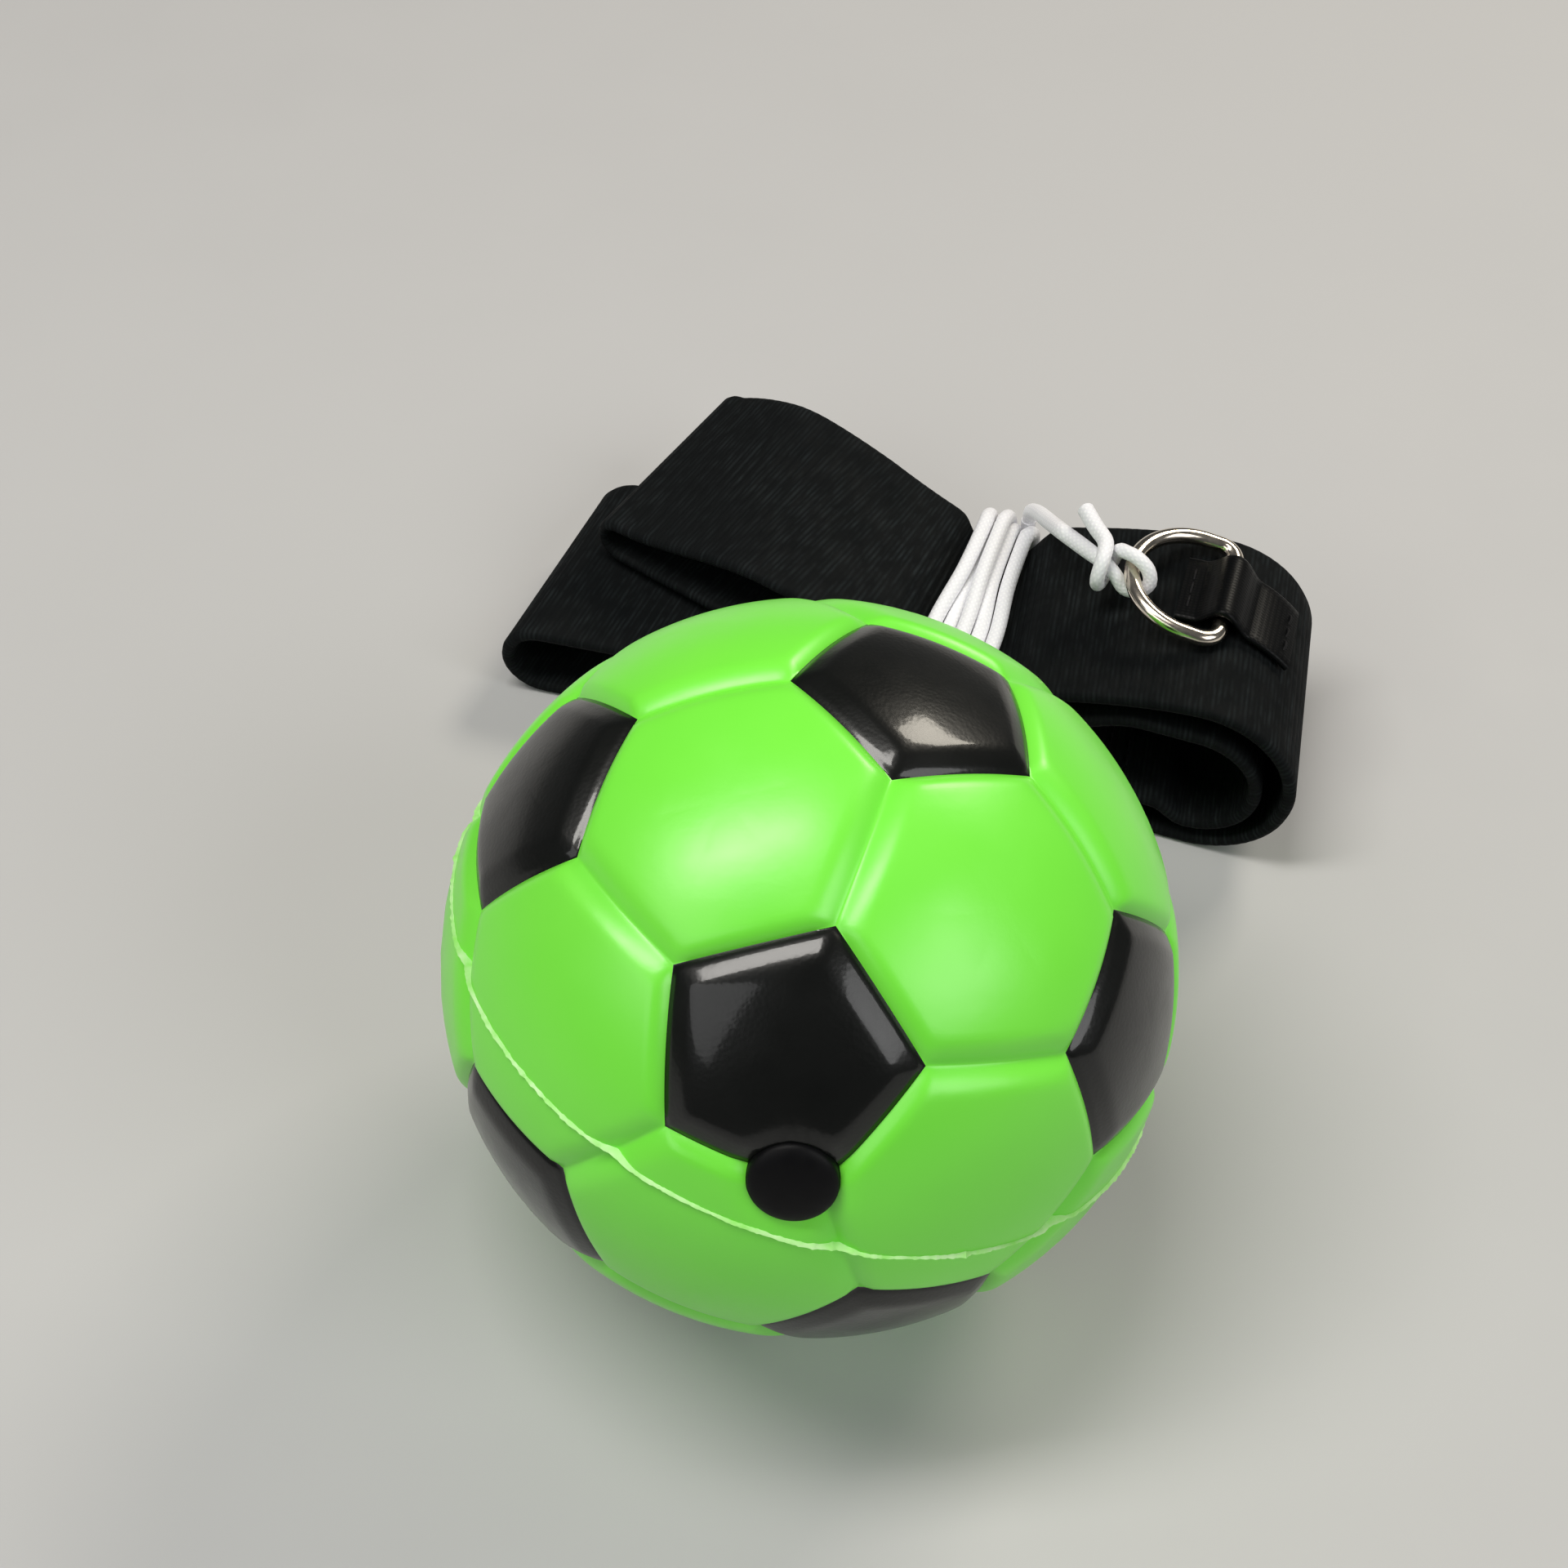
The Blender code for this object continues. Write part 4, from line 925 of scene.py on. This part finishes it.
def band_stations():
    """The band from its under lap end, once round all four plies, to the upper lap end."""
    lower_at = [turn - LOWER_REACH for turn in LOWER_TURN]
    upper_at = [turn - reach for turn, reach in zip(UPPER_TURN, UPPER_REACH)]
    outer_at, inner_at = both(OUTER_TURN_AT), both(INNER_TURN_AT)
    upper_low = [plies[2] for plies in LEFT_PLY]
    stations = run(1, both(LAP_START), lower_at, LOWER)
    stations += u_turn(lower_at, both(HALF_THICK), LOWER_TURN, 90, 270, LOWER)
    stations += run(0, lower_at, outer_at, LOWER)
    stations += u_turn(outer_at, both(RIGHT_PLY[0]), both(OUTER_TURN), -90, 90, STRAIGHT)
    stations += run(3, outer_at, upper_at, UPPER)
    stations += u_turn(upper_at, upper_low, UPPER_TURN, 90, 270, UPPER)
    stations += run(2, upper_at, inner_at, UPPER)
    stations += u_turn(inner_at, both(RIGHT_PLY[1]), both(INNER_TURN), 90, -90, STRAIGHT)
    climb = INNER_TURN_AT - LAP_START - BAND_THICKNESS
    for near, far, branch in run(1, inner_at, both(LAP_START - LAP_LENGTH), LOWER):
        lift = LAP_LIFT * smoothstep((INNER_TURN_AT - near[0]) / climb)
        stations.append(((near[0], near[1] + lift), (far[0], far[1] + lift), branch))
    return stations


def band_line():
    """Evenly spaced middles of the band, with half its width there as a vector."""
    middles, sides = [], []
    for near, far, branch in band_stations():
        half = half_width((near[0] + far[0]) / 2)
        low = on_band(near[0], -half, near[1], branch)
        high = on_band(far[0], half, far[1], branch)
        middles.append((low + high) / 2)
        sides.append((high - low).normalized() * half)
    along = lengths_along(middles)
    count = RIB_SAMPLES * round(along[-1] / RIB_PITCH)
    line = []
    for step in range(count + 1):
        far = along[-1] * step / count
        k = min(bisect(along, far), len(along) - 1) - 1
        share = (far - along[k]) / (along[k + 1] - along[k])
        line.append((far, middles[k].lerp(middles[k + 1], share), sides[k].lerp(sides[k + 1], share)))
    return line


def strip_section(half, half_thick, rib=1.0):
    """One cross-section as (across, off the middle) pairs, with round woven edges.

    rib is 1 on a rib of the weave and 0 between two ribs.
    """
    flat = half - half_thick
    bulge = half_thick * (1 - EDGE_DENT * (1 - rib))
    pairs = []
    for face in (1, -1):
        for k in range(STRIP_CELLS + 1):
            w = face * flat * (1 - 2 * k / STRIP_CELLS)
            inside = smoothstep((half - abs(w)) / SELVEDGE - SELVEDGE_EASE)
            pairs.append((w, face * (half_thick - RIB_HEIGHT * (1 - rib) * inside)))
        for k in range(1, EDGE_CELLS):
            turn = pi * k / EDGE_CELLS
            pairs.append((-face * (flat + bulge * sin(turn)), face * half_thick * cos(turn)))
    return pairs


def strip(name, points, places, sections, finish):
    """A woven strip of these points, with its places along it and the pairs of each cross-section."""
    sides = len(sections[0])
    faces, corners = ring_faces(len(sections), sides, False)
    uvs = [(places[k], sections[k][a % sides][0]) for face in corners for k, a in face]
    return mesh_piece(name, points, faces, [finish], uvs=uvs, sharp=STRIP_SHARP)


def make_headband(finish):
    line = band_line()
    points, sections = [], []
    for k, (_, middle, side) in enumerate(line):
        run_way = line[min(k + 1, len(line) - 1)][1] - line[max(k - 1, 0)][1]
        normal = run_way.cross(side).normalized()
        across = side.normalized()
        rib = 0.5 - 0.5 * cos(2 * pi * k / RIB_SAMPLES)
        sections.append(strip_section(side.length, HALF_THICK, rib))
        points += [middle + across * w + normal * off for w, off in sections[-1]]
    band = strip("elastic_headband", points, [far for far, _, _ in line], sections, finish)
    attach(band, "band")
    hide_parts("headband")


# Cord outside the ball


def one_turn(layer):
    """Points of one turn, near side first and down, as w and z."""
    radius = WINDING_CORNER + layer * LAYER_STEP
    wide = WAIST_WIDTH / 2 + WINDING_OVERHANG - WINDING_CORNER
    floor = INNER_BOTTOM - layer * BOTTOM_STEP + radius
    roof = INNER_TOP + layer * LAYER_STEP - radius
    points = []
    for side, level, start in ((-1, floor, 180), (1, floor, 270), (1, roof, 0), (-1, roof, 90)):
        points += arc(side * wide, level, radius, start, start + 90, CORNER_STEPS)
        if start in (180, 0):
            points += [(side * wide * share, points[-1][1]) for share in (1 / 3, -1 / 3)]
    return points


def at_waist(s, w, z):
    """A place by the waist, where the band runs straight."""
    turn = radians(BAND_TURN)
    along = Vector((cos(turn), sin(turn)))
    return (WAIST + along * s + along.orthogonal() * w).to_3d() + Vector((0, 0, z))


def moved(place, ahead, aside, rise):
    """A place moved along the band, towards its near edge and up."""
    return place + at_waist(ahead, -aside, rise) - at_waist(0, 0, 0)


def fan(w):
    """Pitch and shift of the strands at w across the band, and how far they have fanned out nearby."""
    near = smoothstep((PINCH_AT - w) / NEAR_FAN)
    pitch = PINCH_PITCH + (FAR_PITCH - PINCH_PITCH) * smoothstep((w - PINCH_AT) / FAR_FAN)
    pitch += (NEAR_PITCH - PINCH_PITCH) * near
    return pitch, FAR_SHIFT + (NEAR_SHIFT - FAR_SHIFT) * near, near


def winding_points():
    """Inner turns from right to left, a climb under the band, then outer turns back to the right."""
    ring = one_turn(0.5)
    lengths = [dist(a, b) for a, b in zip(ring, ring[1:] + ring[:1])]
    shares = [sum(lengths[:k]) / sum(lengths) for k in range(len(ring))]
    columns = (START_COLUMN, *INNER_COLUMNS, *OUTER_COLUMNS, END_COLUMN)
    climb, last = len(INNER_COLUMNS), len(columns) - 2
    points = []
    for turn, (before, after) in enumerate(zip(columns, columns[1:])):
        for k, share in enumerate(shares):
            if turn == last and share > LAST_TURN_SHARE:
                break
            pitch, shift, near = fan(ring[k][0])
            below = eased(share, *TURN_SINKS) * (1 - eased(share, *TURN_RISES))
            nest = sqrt(max(0.0, NEST_STEP**2 - (pitch / 2) ** 2)) / LAYER_STEP
            layer = 0.0 if turn < climb else below + (1 - below) * nest
            old, new = [pair[FAR] + (pair[NEAR] - pair[FAR]) * near for pair in (before, after)]
            column = old + (new - old) * eased(share, *TURN_CROSSES)
            if turn == climb:
                layer *= eased(share, *CLIMB_RISES)
                column -= CLIMB_SWING * sin(pi * share_between(share, *CLIMB_SWINGS))
            w, z = one_turn(layer)[k]
            w += WINDING_SLANT * max(-1.0, min(1.0, column)) * smoothstep(w / PINCH_AT)
            points.append(at_waist(shift + column * pitch, w, z))
    up = Vector((0, 0, CORD_DIAMETER))
    return [points[0] + up, *points, points[-1] + up]


def make_winding(finish, winding):
    """The lead from the ball and the turns round the band, as one run of cord."""
    exit_at = BALL_CENTRE - BALL_AXIS * (BALL_RADIUS - SEAM_DEPTH)
    last = moved(winding[0], 0, 0, CORD_DIAMETER + CLEARANCE)
    beside = moved(last, *LEAD_BESIDE)
    ahead = moved(beside, *LEAD_AHEAD)
    out = exit_at - BALL_AXIS * 2 * CORD_DIAMETER
    lead = [exit_at, out, exit_at.lerp(ahead, LEAD_HALFWAY), ahead, beside, last]
    route = smooth_route([*lead, *winding], CORD_STEP)
    piece = tube("cord_winding_visual", route, WOUND_DIAMETER, finish)
    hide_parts("cord_winding", "cord_lead")
    lengths_along(route)[-1]
    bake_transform(piece)


# Half hitch on the ring's bow and the free tail, in millimetres out, across and above the wire
HITCH_ROUTE = (
    (6.8, 2.9, -2.3), (5.3, 1.4, -1.5), (3.8, 0.0, -0.8),
    (2.6, -0.9, -0.5), (1.4, -1.5, -0.9), (0.1, -2.0, -1.8),
    (-1.35, -2.1, -1.45), (-2.15, -1.85, -0.1), (-1.5, -1.4, 1.25),
    (-0.1, -0.9, 1.85), (1.1, -0.25, 1.5), (1.85, 0.65, 0.5),
    (2.1, 0.6, -1.3), (2.4, -0.6, -2.6), (2.8, -2.3, -2.2),
    (3.15, -3.0, -0.6), (3.25, -2.0, 0.9), (3.3, -0.5, 1.1),
    (3.6, 0.95, 0.95), (4.9, 2.9, 0.45), (6.4, 5.3, 0.0),
)
RING_HEADING = radians(BAND_TURN + RIGHT_LEAN + RING_SKEW)
RING_TURN = Matrix.Rotation(RING_HEADING, 3, "Z") @ Matrix.Rotation(radians(RING_TILT), 3, "Y")


def in_ring(x, y, z):
    return RING_PLACE + RING_TURN @ Vector((x, y, z))


def slimness(share):
    """The cord's thickness as a share, drawn thin at the winding's end and in the hitch."""
    in_hitch = eased(share, *HITCH_TIGHTENS) * (1 - eased(share, *TAIL_SLACKENS))
    pull = max(1 - eased(share, *SPAN_SLACKENS), in_hitch)
    return 1 - (1 - TAUT_DIAMETER / CORD_DIAMETER) * pull


def make_cord_end(finish, winding):
    """From the winding to the ring, hitched round its bow, with a short free tail."""
    bow = RING_DEPTH - RING_WIRE
    hitch = [in_ring(-bow - out * MM, across * MM, up * MM) for out, across, up in HITCH_ROUTE]
    start = winding[-1]
    near_end = hitch[0] + (hitch[0] - hitch[1]).normalized() * CORD_DIAMETER
    shoulder, crest = moved(start, *SPAN_SHOULDER), moved(start, *SPAN_CREST)
    halfway = crest.lerp(near_end, 0.5)
    route = smooth_route([start, shoulder, crest, halfway, near_end, *hitch], CORD_STEP)
    piece = tube("cord_end_visual", route, CORD_DIAMETER, finish, slim=slimness)
    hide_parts("cord_span", "ring_hitch")
    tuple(start)
    lengths_along(route)[-1]
    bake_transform(piece)
    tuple(crest)


# D-ring, tab and thread


def make_d_ring(finish):
    half = (RING_WIDTH - RING_WIRE) / 2
    reach = half - RING_CORNER
    bow_middle = half - (RING_DEPTH - RING_WIRE)
    flat = arc(-RING_CORNER, reach, RING_CORNER, 0, 90, RING_BEND_STEPS)
    flat += arc(bow_middle, 0, half, 90, 270, RING_BOW_STEPS)[1:-1]
    flat += arc(-RING_CORNER, -reach, RING_CORNER, 270, 360, RING_BEND_STEPS)
    flat += [(0, reach * (2 * k / RING_BAR_STEPS - 1)) for k in range(1, RING_BAR_STEPS)]
    route = [in_ring(x, y, 0) for x, y in flat]
    ring = tube("d_ring_visual", route, RING_WIRE, finish, sides=RING_SIDES, closed=True)
    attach(ring, "ring")
    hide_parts("d_ring")


def band_top(q):
    """Place and normal, in s and z, on the top of the upper ply at q past the ring's bar, along it."""
    s = RIGHT_REACH - RING_FROM_FOLD + q
    reach = OUTER_TURN + HALF_THICK
    over = (s - OUTER_TURN_AT) / reach
    if over <= 0:
        return s, ply_height(3, s) + HALF_THICK, 0.0, 1.0
    middle = RIGHT_PLY[0] + OUTER_TURN
    side, up = sin(over), cos(over)
    return OUTER_TURN_AT + reach * side, middle + reach * up, side, up


def on_tab(q, v, off):
    """A place on the tab: q past the ring's bar, v across, off the band's face."""
    skew = radians(RING_SKEW)
    s, z, side, up = band_top(q * cos(skew) - v * sin(skew))
    across = RING_ACROSS + q * sin(skew) + v * cos(skew)
    return on_band(s + side * off, across, z + up * off)


def tab_lift(q):
    hump = cos(pi / 2 * share_between(abs(q), 0, TAB_HUMP_HALF)) ** 2
    return CLEARANCE + (RING_WIRE + CLEARANCE) * hump


def make_ring_tab(finish):
    """Webbing sewn flat on the band, humped over the ring's bar."""
    half_thick = TAB_THICKNESS / 2
    count = round((TAB_FRONT + TAB_BACK) / TAB_STEP)
    places = [-TAB_FRONT + (TAB_FRONT + TAB_BACK) * k / count for k in range(count + 1)]
    section = strip_section(TAB_WIDTH / 2, half_thick)
    points = [on_tab(q, v, tab_lift(q) + half_thick + off) for q in places for v, off in section]
    tab = strip("ring_tab_visual", points, places, [section] * len(places), finish)
    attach(tab, "band")
    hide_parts("ring_tab")


def stitch_row(place, half):
    """Routes of the stitches of one row. place(v, off) gives a point v along the row, off the cloth."""
    count = max(1, int(2 * half / STITCH_PITCH))
    shares = [step / STITCH_STEPS for step in range(STITCH_STEPS + 1)]
    offs = [THREAD_DIAMETER * (STITCH_RISE * sin(pi * share) - STITCH_SINK) for share in shares]
    routes = []
    for k in range(count):
        low = (k + 0.5 - count / 2) * STITCH_PITCH - STITCH_LENGTH / 2
        routes.append([place(low + STITCH_LENGTH * share, off) for share, off in zip(shares, offs)])
    return routes


def make_stitches(name, routes, finish):
    parts = [tube(name, route, THREAD_DIAMETER, finish, sides=THREAD_SIDES) for route in routes]
    with bpy.context.temp_override(active_object=parts[0], selected_editable_objects=parts):
        bpy.ops.object.join()
    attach(parts[0], "band")


def sew_tab(finish):
    half = TAB_WIDTH / 2 - TAB_ROW_END
    routes = []
    for q in (-TAB_FRONT + TAB_ROW_INSET, TAB_BACK - TAB_ROW_INSET):
        routes += stitch_row(lambda v, off: on_tab(q, v, tab_lift(q) + TAB_THICKNESS + off), half)
    make_stitches("tab_stitches", routes, finish)


def sew_lap(finish):
    routes = []
    for row in LAP_ROWS:
        s = LAP_START - row
        half = half_width(s) - SELVEDGE
        top = ply_height(1, s) + LAP_LIFT + HALF_THICK
        routes += stitch_row(lambda w, off: on_band(s, w, top + off), half)
    make_stitches("lap_stitches", routes, finish)


# Stage


def add_camera():
    data = bpy.data.cameras.new("photo_camera")
    data.lens = LENS
    data.sensor_width = SENSOR
    data.clip_start = CLIP_START
    camera = add_object("photo_camera", data)
    camera.location = BALL_CENTRE + CAMERA_FROM_BALL
    camera.rotation_euler = CAMERA_LOOK.to_track_quat("-Z", "Y").to_euler()
    bpy.context.scene.camera = camera


def add_area(name, offset, sides, watts, turn, colour):
    """A soft light of this width and height that looks at the ball, turned about its own line of sight."""
    data = bpy.data.lights.new(name, "AREA")
    data.shape = "RECTANGLE"
    data.size, data.size_y = sides
    data.energy = watts
    data.color = colour
    light = add_object(name, data)
    light.location = BALL_CENTRE + Vector(offset)
    spin = Matrix.Rotation(radians(turn), 3, "Z")
    light.rotation_euler = (Vector(offset).to_track_quat("Z", "Y").to_matrix() @ spin).to_euler()


def add_stage():
    corners = [(x * FLOOR_HALF, y * FLOOR_HALF, -FLOOR_DROP) for x, y in ((-1, -1), (1, -1), (1, 1), (-1, 1))]
    floor = mesh_piece("floor", corners, [(0, 1, 2, 3)], [floor_pale()])
    for light in LIGHTS:
        add_area(*light)
    world = bpy.data.worlds.new("studio")
    world.use_nodes = True
    background = world.node_tree.nodes["Background"]
    background.inputs["Color"].default_value = SKY_COLOUR
    background.inputs["Strength"].default_value = SKY_STRENGTH
    bpy.context.scene.world = world
    bpy.context.scene.view_settings.view_transform = "Standard"


def main():
    for start_object in ("Cube", "Light", "Camera"):
        found = bpy.data.objects.get(start_object)
        if found and "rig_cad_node" not in found:
            bpy.data.objects.remove(found)
    add_camera()
    add_stage()
    white = cord_white()
    winding = winding_points()
    make_winding(white, winding)
    make_cord_end(white, winding)
    make_inner_cord(white)
    make_headband(band_black())
    make_ring_tab(tab_black())
    make_d_ring(nickel())
    thread = thread_black()
    sew_tab(thread)
    sew_lap(thread)
    black = panel_black()
    make_ball(foam_green(), black)
    make_flash(flash_green(), black)
    make_plug(plug_black())


main()
